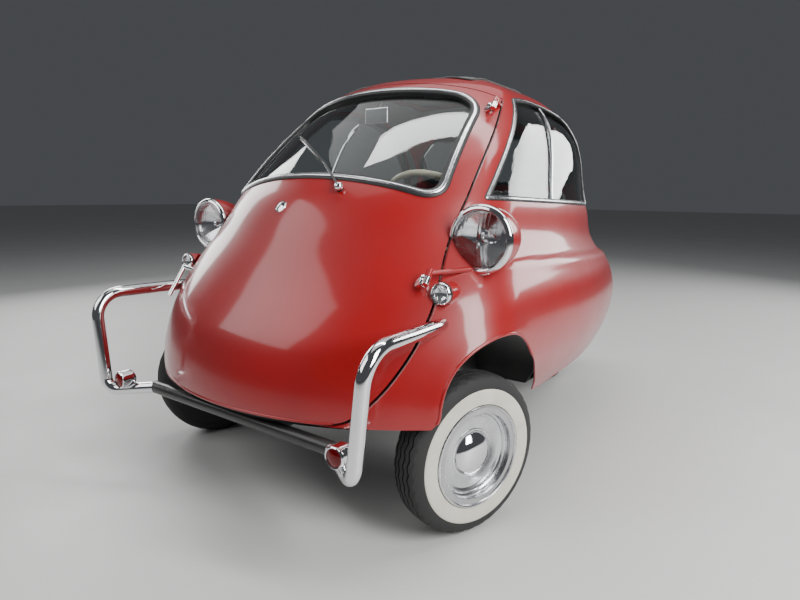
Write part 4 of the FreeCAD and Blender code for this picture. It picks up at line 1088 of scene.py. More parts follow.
archRuns = [rimRuns(bodySkin, onArch(side))[0] for side in (1, -1)]
sillRuns = [run for run in rimRuns(bodySkin, onSill) if len(run[0]) > trimSpec["shortestSill"]]
doorRuns = rimRuns(doorSkin)[:2]
rollRuns = rimRuns(doorSkin, lambda x, y, z: z < trimSpec["rollTop"])[:1]
gapRuns = [run for run in rimRuns(bodySkin, inDoorGap) if len(run[0]) > trimSpec["shortestGap"]][:1]
archLips = beadOn("archLips", archRuns, circleSection(trimSpec["archLip"], 1.5, -1.0), "redPaint", "car_body",
                  tuple(at(0, arch["y"], arch["z"])))
sillLips = beadOn("sillLips", sillRuns, circleSection(trimSpec["sillLip"], 0, -2), "redPaint", "car_body")
doorRoll = beadOn("doorRoll", rollRuns, circleSection(trimSpec["doorRoll"], 1, -1), "redPaint", "front_door")
doorRubber = beadOn("doorRubber", gapRuns, circleSection(trimSpec["rubber"], 2.5, -4.5), "sealRubber",
                    "car_body", tuple(at(0, 100, 800)))
print("door and arch edges", [len(run[0]) for run in archRuns + sillRuns + doorRuns + gapRuns])

# windscreen, side and rear window surrounds: rubber with a bright strip let into it
surround = {
    "screen": [(-13, -1), (-12.5, 2), (-9, 4.6), (-4, 5.6), (8, 5.6), (13, 4.2), (17, 0.5), (17, -9),
               (12, -9), (2, -5), (0, -1)],
    "screenStrip": [(-3.6, 4.5), (-3.2, 6.4), (-1, 7.6), (3.5, 7.8), (7, 7.0), (8.2, 5.6), (8.2, 4.5)],
    "side": [(-4, -1), (-3.6, 1.4), (-1, 2.4), (9, 2.4), (13, 1.0), (13.5, -5), (2, -5), (0, -1)],
    "sideStrip": [(0.2, 1.4), (0.4, 3.0), (2.4, 4.0), (6.0, 4.0), (8.0, 3.0), (8.2, 1.4)],
    "rear": [(-12, -1), (-11, 2.4), (-7, 4.4), (6, 4.4), (13, 2.6), (15, -5), (8, -6), (1, -4), (0, -1)],
    "rearStrip": [(-3, 3.6), (-2.6, 5.0), (0, 5.8), (3, 5.0), (3.4, 3.6)],
}
screenRuns = [run for run in doorRuns if run[1]][1:2]
sideRuns, rearRuns = [], []
for run in rimRuns(bodySkin):
    x, y, z = run[0].mean(0)
    if run[1] and abs(x) > 0.3 and y < 0.4 and run[0][:, 2].min() > 0.9:
        sideRuns.append(run)
    elif run[1] and abs(x) < 0.05 and y > 0.55 and 1.0 < z < 1.3:
        rearRuns.append(run)
for name, runs, body in (("screen", screenRuns, "front_door"), ("side", sideRuns[:2], "car_body"),
                         ("rear", rearRuns[:1], "car_body")):
    rubber = beadOn(name + "Rubber", runs, surround[name], "sealRubber", body)
    strip = beadOn(name + "Strip", runs, surround[name + "Strip"], "polishedAlloy", body)
print("window surrounds", [len(runs) for runs in (screenRuns, sideRuns, rearRuns)])

# the upright bar that parts each side window's panes
divider = {"top": (768, 1256), "foot": (645, 908), "depth": -3.0, "steps": 24,
           "section": [(-8, -4), (-8, 2), (-6.5, 3.5), (-3, 3.5), (-2.5, 1.5), (2.5, 1.5), (3, 3.5),
                       (6.5, 3.5), (8, 2), (8, -4)]}
bars = []
for side in (1, -1):
    path, normals = [], []
    for k in range(divider["steps"] + 1):
        (topY, topZ), (footY, footZ) = divider["top"], divider["foot"]
        y = topY + (footY - topY) * k / divider["steps"]
        z = topZ + (footZ - topZ) * k / divider["steps"]
        place, normal = rayOnto(at(900 * side, y, z), (-side, 0, 0))
        path.append(tuple(place + normal * divider["depth"] / 1000))
        normals.append(tuple(normal))
    bars.append(sweep("bar", path, normals, False, divider["section"], "polishedAlloy",
                      towards=tuple(at(0, 1400, 1000))))
windowBars = joinPieces("windowBars", bars, "car_body")

# wheels: treaded tyres with white sides, stepped rings and domed caps
wheelSpec = {"kingpin": (540.0, 25.0, 211.0), "rear": (260.0, 1525.0, 211.0), "offset": 45.0, "rest": -19.0,
             "steps": 216, "radius": 234.0, "crown": 5.0, "crownHalf": 40.0,
             "shoulder": ((41.5, 226.0), (38.5, 228.6)),
             "grooves": (27.0, 9.5, -9.5, -27.0), "grooveHalf": 2.4, "grooveDeep": 5.5,
             "zig": 3.2, "zigSteps": 6, "notch": 2.2, "notchAt": (1, 2), "white": range(3, 10)}
tyreSide = [(47, 131.5), (48.5, 141), (50.5, 147.5), (52, 151), (54, 152), (55.2, 160), (56, 171), (56, 182),
            (55, 192), (54.2, 194.5), (52.8, 195.5), (52.6, 201), (50.5, 209), (47.5, 216), (44.5, 221),
            (42.5, 224)]
ringProfile = [(48, 140), (51, 148.5), (54, 149.5), (56.4, 148), (57, 145), (55.5, 142.5), (52, 141),
               (49.5, 139), (48.8, 135.5), (46, 133.2), (42.5, 132.4), (40.5, 128.5), (37.5, 125),
               (33.5, 123.6), (31.5, 119), (28.5, 116.5), (26.4, 115.6), (24.6, 110), (21.6, 106.6),
               (20.6, 103), (20.2, 84), (22.0, 72), (18.6, 71), (17.6, 84), (17.6, 104), (20, 110), (23, 118),
               (28, 125.4), (36, 129), (41, 136), (48, 140)]
capProfile = [(18, 74), (20.5, 73.5), (23.2, 72.2), (24.2, 70), (24.0, 67.5), (27, 66), (31.5, 62.5),
              (37, 55.5), (42.5, 45.5), (46.6, 34), (49.3, 21), (50.6, 9), (50.9, 0)]


def tyreRing(step):  # the tyre's section at one step: the grooves zigzag and the shoulders are notched
    period, half, deep = wheelSpec["zigSteps"], wheelSpec["grooveHalf"], wheelSpec["grooveDeep"]
    zig = wheelSpec["zig"] * (abs(step % period - period / 2) / (period / 4) - 1)
    notch = wheelSpec["notch"] if step % period in wheelSpec["notchAt"] else 0.0
    (outerX, outerR), (innerX, innerR) = wheelSpec["shoulder"]
    ring = tyreSide + [(outerX - notch * 0.3, outerR - notch), (innerX, innerR - notch)]
    for middle in wheelSpec["grooves"]:
        centre = middle + zig
        top = wheelSpec["radius"] - wheelSpec["crown"] * (centre / wheelSpec["crownHalf"]) ** 2
        ring += [(centre + half + 0.4, top), (centre + half - 0.3, top - deep),
                 (centre - half + 0.3, top - deep), (centre - half - 0.4, top)]
    ring += [(-innerX, innerR - notch), (-outerX + notch * 0.3, outerR - notch)]
    return ring + [(-x, r) for x, r in reversed(tyreSide)]


def makeTyre(name, matrix, body=None):
    points, steps = [], wheelSpec["steps"]
    for step in range(steps):
        angle = 2 * math.pi * step / steps
        points += [matrix @ Vector((x / 1000, r * math.cos(angle) / 1000, r * math.sin(angle) / 1000))
                   for x, r in tyreRing(step)]
    count = len(points) // steps
    slots = [1 if k in wheelSpec["white"] else 0 for k in range(count)] * steps
    return newPiece(name, points, ringFaces(steps, count), ("tyreRubber", "whiteRubber"), body, 38, slots)


def wheelMatrix(side, rear):
    x, y, z = wheelSpec["rear"] if rear else wheelSpec["kingpin"]
    turn = (0.0 if rear else wheelSpec["rest"]) + (180 if side < 0 else 0)
    matrix = Matrix.Translation(at(side * x, y, z)) @ Matrix.Rotation(math.radians(turn), 4, "Z")
    return matrix if rear else matrix @ Matrix.Translation((wheelSpec["offset"] / 1000, 0, 0))


for label, side in (("Left", 1), ("Right", -1)):
    low = label.lower()
    matrix, body = wheelMatrix(side, False), "wheel_front_" + low
    tyre = makeTyre("tyreFront" + label, matrix, body)
    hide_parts("tyre_front_" + low)
    ring = lathe("wheelRing" + label, ringProfile, matrix, "polishedAlloy", body, 120)
    cap = lathe("wheelCap" + label, capProfile, matrix, "chromePlate", body, 96)
    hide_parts("hubcap_front_" + low)
rearTurns = [wheelMatrix(side, True) for side in (1, -1)]
rearTyres = joinPieces("tyresRear", [makeTyre("tyre", turn) for turn in rearTurns], "rear_wheels")
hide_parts("rear_tyres")
rearRings = joinPieces("wheelRingsRear", [lathe("ring", ringProfile, turn, "polishedAlloy", None, 96)
                                          for turn in rearTurns], "rear_wheels")
rearCaps = joinPieces("wheelCapsRear", [lathe("cap", capProfile, turn, "chromePlate", None, 72)
                                        for turn in rearTurns], "rear_wheels")
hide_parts("rear_hubcaps")
print("wheels ready")

# lamps: hollow shells with bowls, bulbs and ribbed glass; profiles are (x, radius), X running rearwards
headlamp = {
    "place": (589.0, 41.0, 815.0), "radius": 94.0, "depth": 190.0, "wall": 0.965, "bowl": 80.0,
    "bowlDeep": 62.0,
    "rim": [(3, 95.6), (-2, 97.2), (-7, 96.8), (-12, 93.6), (-15.6, 88.4), (-16.2, 84.6), (-14.6, 82.2),
            (-9, 81.4), (0, 82), (2.5, 86), (3, 95.6)],
    "bulb": [(40, 0), (38.5, 5), (35, 9), (28, 12), (21, 11), (16, 6.5), (14.6, 0)],
    "lens": {"radius": 82.0, "start": -9.0, "rise": 19.0, "thick": 2.6, "rib": 0.8, "wide": 11.0, "rings": 26,
             "steps": 144},
    "screw": (-0.010, -0.030, -0.090), "screwFaces": (0, -0.3, -1),
}
signal = {
    "place": (550.0, -93.0, 679.0), "radius": 31.0, "depth": 105.0, "stemFoot": (550, -63, 679),
    "stemHead": (460, 17, 679), "stem": (12, 13),
    "mouth": [(20, 0), (18, 24), (0, 27), (0, 31)],
    "gasket": [(2, 31.6), (-4.5, 31.8), (-4.5, 27), (2, 27), (2, 31.6)],
    "bezel": [(-3.5, 31), (-6, 31.2), (-10, 29.6), (-12.4, 27), (-11, 25.6), (-4, 26), (-3.5, 31)],
    "bowl": [(-4, 26), (2, 24), (10, 12), (12, 0), (14, 0), (13, 14), (4, 26.5), (-4, 26.8), (-4, 26)],
    "lens": {"radius": 26.4, "start": -8.0, "rise": 8.5, "thick": 2.0, "rib": 1.0, "wide": 5.0, "rings": 14,
             "steps": 72},
}
lowLamp = {
    "place": (470, -427, 326),
    "bezel": [(1, 28.4), (-3, 29.2), (-6.5, 28.6), (-8.4, 26), (-7, 23.6), (0, 23.6), (1, 28.4)],
    "lens": {"radius": 24.4, "start": -4.5, "rise": 7.0, "thick": 2.4, "rib": 0.9, "wide": 4.6, "rings": 14,
             "steps": 64},
}
tailLamp = {
    "place": (400, 1744, 520), "cup": [(-2, 0), (-2, 27), (2, 31), (10, 32), (140, 34), (140, 0)],
    "bezel": [(4, 32.6), (-2, 33.6), (-7, 32.6), (-9.4, 29.6), (-8, 27), (2, 27), (4, 32.6)],
    "lens": {"radius": 27.6, "start": -6.0, "rise": 9.0, "thick": 2.4, "rib": 0.9, "wide": 5.2, "rings": 14,
             "steps": 64},
}
doorClearance = 7


def lampMatrix(spec, side, turn):
    x, y, z = spec["place"]
    return Matrix.Translation(at(side * x, y, z)) @ Matrix.Rotation(turn, 4, "Z")


def bullet(radius, depth, steps):  # a shell's profile from its mouth to its tip
    return arcThrough((0, radius), (depth * 0.62, radius * 0.7), (depth, 0), steps) + [(depth, 0)]


def domedLens(matrix, spec, finish):  # glass domed outwards, with upright ribs on its inner face
    radius, rise, rings, steps = spec["radius"], spec["rise"], spec["rings"], spec["steps"]
    ball = (radius ** 2 + rise ** 2) / (2 * rise)
    points = []
    for layer in (0, 1):
        for ring in range(rings + 1):
            r = radius * math.sin(math.pi / 2 * ring / rings)
            bulge = math.sqrt(ball ** 2 - r ** 2) - (ball - rise)
            fade = min(1.0, (radius - r) / 6)
            for step in range(steps):
                angle = 2 * math.pi * step / steps
                across, tall = r * math.cos(angle), r * math.sin(angle)
                rib = spec["rib"] * abs(math.sin(math.pi * across / spec["wide"])) * fade
                x = spec["start"] - bulge + (spec["thick"] + rib if layer else 0.0)
                points.append(matrix @ Vector((x / 1000, across / 1000, tall / 1000)))
    size, edge = (rings + 1) * steps, rings * steps
    faces = ringFaces(rings + 1, steps, False)
    faces += [tuple(size + v for v in face) for face in faces]
    for a in range(steps):
        b = (a + 1) % steps
        faces.append((edge + a, edge + b, size + edge + b, size + edge + a))
    piece = newPiece("lens", points, faces, finish)
    mend(piece, 2e-6)
    shade(piece, 40)
    return piece


doorSpace = combine(bodyForm("doorSpace", -doorClearance), [doorHole], "INTERSECT")


def besideDoor(piece):  # cut back to the body's side and clear of the door
    combine(piece, [outerForm, doorSpace], "DIFFERENCE")
    largestPart(piece)
    shade(piece)
    return piece


lampParts = {}


def addLamp(**pieces):
    for name, piece in pieces.items():
        lampParts.setdefault(name, []).append(piece)


def makeHeadlamp(side):
    matrix = lampMatrix(headlamp, side, math.pi / 2)
    shell = bullet(headlamp["radius"], headlamp["depth"], 40)
    wall = [(x * headlamp["wall"] + 2, r * headlamp["wall"]) for x, r in shell[::-1]]
    size, deep = headlamp["bowl"], headlamp["bowlDeep"]
    bowl = [(0, size)] + [(4 + deep * (1 - (r / size) ** 2), r) for r in np.linspace(size - 1, 8, 22)]
    bowl += [(66, 0), (68, 0), (68, 9), (8, 81.5), (0, 81.5), (0, size)]
    addLamp(
        headlampShells=besideDoor(lathe("shell", shell + wall + shell[:1], matrix, "redPaint", None, 144)),
        headlampRims=besideDoor(lathe("rim", headlamp["rim"], matrix, "chromePlate", None, 144)),
        headlampBowls=lathe("bowl", bowl, matrix, "reflectorBowl", None, 96),
        headlampBulbs=lathe("bulb", headlamp["bulb"], matrix, "chromePlate", None, 32),
        headlampGlass=domedLens(matrix, headlamp["lens"], "lensGlass"))
    x, y, z = headlamp["screw"]
    return facing(matrix @ Vector((x, y * side, z)), headlamp["screwFaces"])


def makeSignal(side):
    matrix = lampMatrix(signal, side, math.pi / 2)
    profile = bullet(signal["radius"], signal["depth"], 24) + signal["mouth"]
    shell = lathe("shell", profile, matrix, "redPaint")
    (footX, footY, footZ), (headX, headY, headZ) = signal["stemFoot"], signal["stemHead"]
    foot, head = at(side * footX, footY, footZ), at(side * headX, headY, headZ)
    length, (thin, thick) = (head - foot).length * 1000, signal["stem"]
    stem = lathe("stem", [(0, 0), (0, thin), (length, thick), (length, 0)], spindle(foot, head - foot),
                 "redPaint", None, 32)
    combine(shell, [stem], "UNION")
    discard(stem)
    addLamp(signalShells=besideDoor(shell),
            signalGaskets=lathe("gasket", signal["gasket"], matrix, "sealRubber"),
            signalBezels=lathe("bezel", signal["bezel"], matrix, "chromePlate"),
            signalBowls=lathe("bowl", signal["bowl"], matrix, "reflectorBowl", None, 48),
            signalGlass=domedLens(matrix, signal["lens"], "lensGlass"))


def makeLowAndTail(side):  # low lamps on the front tubes, and lamps at the tail
    front, back = lampMatrix(lowLamp, side, math.pi / 2), lampMatrix(tailLamp, side, -math.pi / 2)
    cup = lathe("cup", tailLamp["cup"], back, "redPaint", None, 64)
    addLamp(lowBezels=lathe("bezel", lowLamp["bezel"], front, "chromePlate", None, 64),
            lowGlass=domedLens(front, lowLamp["lens"], "redGlass"),
            tailCups=combine(cup, [outerForm], "DIFFERENCE"),
            tailBezels=lathe("bezel", tailLamp["bezel"], back, "chromePlate", None, 64),
            tailGlass=domedLens(back, tailLamp["lens"], "redGlass"))


lampScrews = [makeHeadlamp(side) for side in (1, -1)]
for side in (1, -1):
    makeSignal(side)
    makeLowAndTail(side)
for name, nodesShown, slot in (
        ("headlampShells", ("headlamp_shells",), "body_paint"),
        ("headlampRims", ("headlamp_rims",), "chrome"),
        ("headlampBowls", (), "chrome"), ("headlampBulbs", (), "chrome"),
        ("headlampGlass", ("headlamp_lenses",), "lamp_glass"),
        ("signalShells", ("signal_shells",), "body_paint"), ("signalBezels", (), "chrome"),
        ("signalGaskets", (), "rubber_seal"), ("signalBowls", (), "chrome"),
        ("signalGlass", ("signal_lenses",), "lamp_glass"),
        ("lowBezels", (), "chrome"), ("lowGlass", ("low_lamp_lenses",), "red_lens"),
        ("tailCups", ("tail_lamps",), "body_paint"), ("tailBezels", (), "chrome"),
        ("tailGlass", (), "red_lens")):
    piece = joinPieces(name, lampParts[name], "car_body")
    if nodesShown:
        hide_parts(*nodesShown)
print("lamps ready")

# soft seat: the stuffing is swelled by cloth simulation, then the sewn channels are pressed in
seatSpec = {
    "cushion": {"node": "seat_cushion", "start": (0.984, 0.965, 0.88), "voxel": 0.0085, "cap": 0.015,
                "channel": 0.115, "deep": 0.006, "wide": 0.009, "fill": 0.7},
    "backrest": {"node": "seat_backrest", "start": (0.980, 0.92, 0.965), "voxel": 0.0085, "cap": 0.015,
                 "channel": 0.105, "deep": 0.006, "wide": 0.009, "fill": 0.7},
    "pressure": 4.0, "quality": 4, "frames": 20, "plainEdge": (0.012, 0.05),
}


def vertexValues(mesh, name):
    values = np.empty(len(mesh.vertices) * 3)
    mesh.vertices.foreach_get(name, values)
    return values.reshape(-1, 3)


def swell(piece, spec):
    even = piece.modifiers.new("even", "REMESH")
    even.mode, even.voxel_size = "VOXEL", spec["voxel"]
    bake(piece)
    before = vertexValues(piece.data, "co")
    stuffing = piece.modifiers.new("stuffing", "CLOTH")
    stuffing.settings.use_pressure = True
    stuffing.settings.uniform_pressure_force = seatSpec["pressure"]
    stuffing.settings.effector_weights.gravity = 0.0
    stuffing.settings.quality = seatSpec["quality"]
    stuffing.point_cache.frame_start, stuffing.point_cache.frame_end = 1, seatSpec["frames"]
    for number in range(1, seatSpec["frames"] + 1):
        scene.frame_set(number)
    bake(piece)
    scene.frame_set(1)
    moved = vertexValues(piece.data, "co") - before
    length = np.linalg.norm(moved, axis=1, keepdims=True)
    moved *= np.minimum(1.0, spec["cap"] / np.maximum(length, 1e-9))
    return before + moved


def makeSoft(name, spec):
    source = nodes[spec["node"]]
    piece = bpy.data.objects.new(name, source.data.copy())
    piece.data.transform(source.matrix_world)
    scene.collection.objects.link(piece)
    mend(piece, 1e-6, False)
    corners = np.array([tuple(v.co) for v in piece.data.vertices])
    low, high = corners.min(0), corners.max(0)
    middle = (low + high) / 2
    for vert in piece.data.vertices:
        vert.co = [middle[k] + (vert.co[k] - middle[k]) * spec["start"][k] for k in range(3)]
    points = swell(piece, spec)
    piece.data.vertices.foreach_set("co", points.ravel())
    piece.data.update()
    normals = vertexValues(piece.data, "normal")
    across = (points[:, 0] / spec["channel"] + 0.5) % 1.0 - 0.5
    press = np.exp(-(across * spec["channel"] / spec["wide"]) ** 2)
    seen = np.clip(1.4 * np.maximum(normals[:, 2], -normals[:, 1]), 0, 1)
    plain, edge = seatSpec["plainEdge"]
    inner = smoothStep(0.0, edge, high[0] - plain - np.abs(points[:, 0]))
    points = points - normals * (spec["deep"] * press * seen * inner)[:, None]
    points[:, 2] = np.maximum(points[:, 2], low[2])
    piece.data.vertices.foreach_set("co", points.ravel())
    finer = piece.modifiers.new("finer", "SUBSURF")
    finer.levels = finer.render_levels = 1
    bake(piece)
    paint(piece, "seatCloth")
    shade(piece, 60)
    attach(piece, "car_body")
    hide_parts(spec["node"])
    return piece


seatCushion = makeSoft("seatCushion", seatSpec["cushion"])
seatBackrest = makeSoft("seatBackrest", seatSpec["backrest"])
pipingSpec = {"radius": 3.6, "out": 1.0, "step": 9,
              "cushion": {"half": 478, "low": 640, "high": 1040, "corner": 40, "from": 760},
              "backrest": {"half": 388, "low": 640, "high": 1068, "corner": 50, "from": 850}}


def pipingOn(name, soft, starts, direction):  # cord laid on the stuffing along an outline
    tree, path = treeOf(soft), []
    for start in starts:
        place = tree.ray_cast(start, Vector(direction))[0]
        if place is not None:
            path.append(tuple(place))
    path = steadyRun(path, True, pipingSpec["step"])
    normals = np.array([tuple(tree.find_nearest(Vector(p))[1]) for p in path])
    piping = sweep(name, path, normals, True, circleSection(pipingSpec["radius"], 0, pipingSpec["out"], 10),
                   "seatPiping", "car_body")


top, face = pipingSpec["cushion"], pipingSpec["backrest"]
topOutline = roundedBox(top["half"], top["low"], top["high"], top["corner"])
faceOutline = roundedBox(face["half"], face["low"], face["high"], face["corner"])
pipingOn("cushionPiping", seatCushion, [at(p.x, p.y, top["from"]) for p in topOutline], (0, 0, -1))
pipingOn("backrestPiping", seatBackrest, [at(p.x, face["from"], p.y) for p in faceOutline], (0, 1, 0))
print("seat ready", len(seatCushion.data.polygons), len(seatBackrest.data.polygons))

# folding roof: one stretched sheet over the opening, with a rolled hem
hoodSpec = {"left": -284.0, "right": 284.0, "front": 511.0, "back": 1059.0, "across": 60, "along": 60,
            "crown": 7.0, "bow": 2.2, "bows": 3, "lift": 3.2, "thick": 1.6, "hem": 4.2, "hemDrop": -0.4}


def hoodPoint(u, v):  # u across and v along, from 0 to 1
    x = hoodSpec["left"] + (hoodSpec["right"] - hoodSpec["left"]) * u
    y = hoodSpec["front"] + (hoodSpec["back"] - hoodSpec["front"]) * v
    place, _ = rayOnto(at(x, y, 1700), (0, 0, -1))
    edge = min(1.0, 6 * u, 6 * (1 - u), 6 * v, 6 * (1 - v))
    rise = hoodSpec["lift"] + hoodSpec["crown"] * edge * (1 - 0.6 * (2 * u - 1) ** 2) * (2 - edge) \
        + hoodSpec["bow"] * edge * (abs(math.cos(hoodSpec["bows"] * math.pi * v)) - 0.6)
    return tuple(place + Vector((0, 0, rise / 1000)))


stride, rows = hoodSpec["across"] + 1, hoodSpec["along"] + 1
points = [hoodPoint(c / hoodSpec["across"], r / hoodSpec["along"])
          for r in range(rows) for c in range(stride)]
roofCloth = newPiece("roofCloth", points, ringFaces(rows, stride, False, False), "hoodCloth", None, 60)
thicken(roofCloth, hoodSpec["thick"] / 1000, 0.0)
shade(roofCloth, 60)
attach(roofCloth, "car_body")
grid = np.array(points).reshape(rows, stride, 3)
border = np.vstack([grid[0], grid[1:, -1], grid[-1, -2::-1], grid[-2:0:-1, 0]])
border = steadyRun(border, True, 8)
roofHem = sweep("roofHem", border, np.tile((0.0, 0.0, 1.0), (len(border), 1)), True,
                circleSection(hoodSpec["hem"], 0, hoodSpec["hemDrop"], 10), "hoodCloth", "car_body")
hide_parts("fabric_roof")
print("roof ready")

# lining of the cabin and of the door, kept back from every opening
liningSpec = {"outer": 15, "inner": 17, "door": 40, "doorway": 22, "screen": 14, "rear": 16, "window": 16,
              "roof": 14,
              "rearReach": (1150, 1700), "archReach": (400, 1000), "archScale": 1.16,
              "floor": [(-900, 0), (-900, 345), (400, 345), (400, 330), (1250, 330), (1250, 1500),
                        (2400, 1500), (2400, 0)]}
liningOuter = bodyForm("liningOuter", liningSpec["outer"])
liningInner = bodyForm("liningInner", liningSpec["inner"])
lining = combine(copyOf(liningOuter, "cabinLining"), [liningInner], "DIFFERENCE")
doorPart = acrossTool("doorPart", doorOutline(liningSpec["door"]))
doorway = acrossTool("doorway", doorOutline(-liningSpec["doorway"]))
floorCut = acrossTool("floorCut", liningSpec["floor"])
screenGap = prism("screenGap", screenOutline(-liningSpec["screen"]), screenPlace, -cutReach["screen"],
                  cutReach["screen"])
rearGap = prism("rearGap", rearOutline(-liningSpec["rear"]), rearPlace, *liningSpec["rearReach"])
roofGap = prism("roofGap", roofOutline(-liningSpec["roof"]), roofPlace, *cutReach["roof"])
grown = [(arch["y"] + (y - arch["y"]) * liningSpec["archScale"],
          arch["z"] + (z - arch["z"]) * liningSpec["archScale"]) for y, z in archOutline]
archGaps = bothSides("archGap", grown, liningSpec["archReach"])
windowGaps = bothSides("windowGap", windowOutline(-liningSpec["window"]), cutReach["window"])
doorLining = combine(copyOf(lining, "doorLining"), [doorPart], "INTERSECT")
combine(doorLining, [screenGap, floorCut], "DIFFERENCE")
combine(lining, [doorway, floorCut, rearGap, roofGap] + archGaps + windowGaps, "DIFFERENCE")
for piece, body in ((lining, "car_body"), (doorLining, "front_door")):
    paint(piece, "liningCloth")
    shade(piece)
    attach(piece, body)
discard(liningOuter, liningInner, doorPart, doorway, screenGap, rearGap, roofGap, floorCut, *archGaps,
        *windowGaps)
print("lining ready", len(lining.data.polygons), len(doorLining.data.polygons))

# speed dial in the pod
dialSpec = {
    "place": (290.0, 258.8, 881.7), "face": (0.0, 0.894, 0.447),
    "bezel": [(-2, 48.6), (2, 49), (5, 47), (6, 44), (4, 42), (0, 42), (-2, 48.6)],
    "disc": [(0, 0), (0, 43), (1.4, 43), (1.6, 0)],
    "mark": [(-0.7, 33), (0.7, 33), (0.7, 40), (-0.7, 40)], "markHeight": (1.2, 2.0), "marks": 14,
    "firstMark": -130, "markStep": 20,
    "needle": [(-1.6, -8), (1.6, -8), (0.4, 31), (-0.4, 31)], "needleHeight": (2.6, 3.4),
}
hub = facing(at(*dialSpec["place"]), dialSpec["face"])
dialTurn = spindle(at(*dialSpec["place"]), dialSpec["face"])
dialBezel = lathe("dialBezel", dialSpec["bezel"], dialTurn, "chromePlate", "front_door")
dialDisc = lathe("dialDisc", dialSpec["disc"], dialTurn, "dialFace", "front_door", 64)
mark = prism("mark", dialSpec["mark"], localPlace, *dialSpec["markHeight"], "blackResin")
markTurns = [math.radians(dialSpec["firstMark"] + dialSpec["markStep"] * k) for k in range(dialSpec["marks"])]
dialTicks = repeat("dialTicks", mark, [hub @ Matrix.Rotation(turn, 4, "Z") for turn in markTurns],
                   "blackResin", "front_door")
dialNeedle = prism("dialNeedle", dialSpec["needle"], lambda x, y, z: hub @ localPlace(x, y, z),
                   *dialSpec["needleHeight"], "redGlass")
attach(dialNeedle, "front_door")
discard(mark)

# steering boss and mirror plate
bossSpec = {"place": (290, 307, 867), "up": 0.013, "axis": (0, 1, 1),
            "button": [(0, 0), (0, 30), (4, 29), (8, 25), (11, 18), (12.5, 9), (13, 0)],
            "ring": [(-1, 30), (-1, 33.4), (2.6, 33), (4.4, 31), (4, 29.4), (-1, 30)]}
mirrorSpec = {"middle": 20.0, "half": 42.5, "low": 1183, "high": 1229, "corner": 8, "depth": (318.1, 319.6)}
wheelAxis = Vector(bossSpec["axis"]).normalized()
boss = spindle(at(*bossSpec["place"]) + wheelAxis * bossSpec["up"], wheelAxis)
hornButton = lathe("hornButton", bossSpec["button"], boss, "blackResin", "steering_wheel", 56)
hornRing = lathe("hornRing", bossSpec["ring"], boss, "chromePlate", "steering_wheel", 56)
mirrorOutline = roundedBox(mirrorSpec["half"], mirrorSpec["low"], mirrorSpec["high"], mirrorSpec["corner"])
mirrorGlass = prism("mirrorGlass", mirrorOutline, lambda x, z, y: at(x + mirrorSpec["middle"], y, z),
                    *mirrorSpec["depth"], "mirrorGlass")
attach(mirrorGlass, "front_door")

# a plain domed button on the door, the wiper's cap and the hinge sleeves
buttonSpec = {"place": (-21, -600, 893), "profile": [(-3, 0), (-3, 20.5), (1.5, 21), (3.4, 20), (3.6, 17.6),
                                                     (2.4, 16.6), (4.4, 12), (5.4, 6), (5.7, 0)]}
wiperSpec = {"place": (163, -50, 943), "axis": (0.17, -0.68, 0.71), "out": 0.023,
             "profile": [(-9, 0), (-9, 13), (-3, 13.6), (2, 12.4), (6, 8.5), (8, 4), (8.4, 0)]}
sleeveSpec = {"low": ((514, -108, 721), (447, -82, 677)), "high": ((444, 385, 1227), (400, 400, 1200)),
              "in": 0.010, "profile": [(0, 0), (0, 11), (2, 14.2), (5, 15.4), (27, 15.8), (31, 14.6),
                                       (33.5, 11), (33.5, 0)]}
buttonTurn = spindle(*rayOnto(at(*buttonSpec["place"]), (0, 1, 0)))
doorButton = lathe("doorButton", buttonSpec["profile"], buttonTurn, "chromePlate", "front_door", 64)
wiperAxis = Vector(wiperSpec["axis"])
wiperTurn = spindle(at(*wiperSpec["place"]) + wiperAxis.normalized() * wiperSpec["out"], wiperAxis)
wiperCap = lathe("wiperCap", wiperSpec["profile"], wiperTurn, "chromePlate", "front_door", 40)
sleeves = []
for end in ("low", "high"):
    pin, anchor = (at(*place) for place in sleeveSpec[end])
    along = (anchor - pin).normalized()
    sleeves.append(lathe("sleeve", sleeveSpec["profile"], spindle(pin + along * sleeveSpec["in"], along),
                         "chromePlate", None, 48))
hingeSleeves = joinPieces("hingeSleeves", sleeves, "front_door")

# louvres and hinge barrels of the engine lid; each louvre row is (y, y beyond the end, z) for the full width
louvreSpec = {"half": 74, "steps": 24, "count": 6, "first": -62, "pitch": 25, "sheet": 0.0012,
              "rows": ((0, 0, 6.5), (2.2, 0.1, 6.2), (6, 0.2, 3.6), (9, 0.4, 0))}
barrelSpec = {"places": (-66, 66), "half": 28, "up": 1, "out": 9,
              "profile": [(0, 0), (0, 4.2), (0.8, 5), (25.2, 5), (26, 4.2), (26, 0)]}
points = []
for k in range(louvreSpec["steps"] + 1):
    u = -1 + 2 * k / louvreSpec["steps"]
    full = math.sqrt(max(0.0, 1 - u ** 4))
    points += [localPlace(u * louvreSpec["half"], y * full + beyond, z * full)
               for y, beyond, z in louvreSpec["rows"]]
blade = newPiece("blade", points, ringFaces(louvreSpec["steps"] + 1, len(louvreSpec["rows"]), False, False),
                 "redPaint")
thicken(blade, louvreSpec["sheet"], -1.0)
louvrePlaces = []
for k in range(louvreSpec["count"]):
    z = lid["z"] + louvreSpec["first"] + louvreSpec["pitch"] * k
    place, normal = rayOnto(at(-900, lid["y"], z), (1, 0, 0))
    up = Vector((0, 0, 1))
    up = (up - normal * up.dot(normal)).normalized()
    matrix = Matrix((normal.cross(up).normalized(), -up, normal)).transposed().to_4x4()
    matrix.translation = place
    louvrePlaces.append(matrix)
lidLouvres = repeat("lidLouvres", blade, louvrePlaces, "redPaint", "engine_lid")
discard(blade)
barrels = []
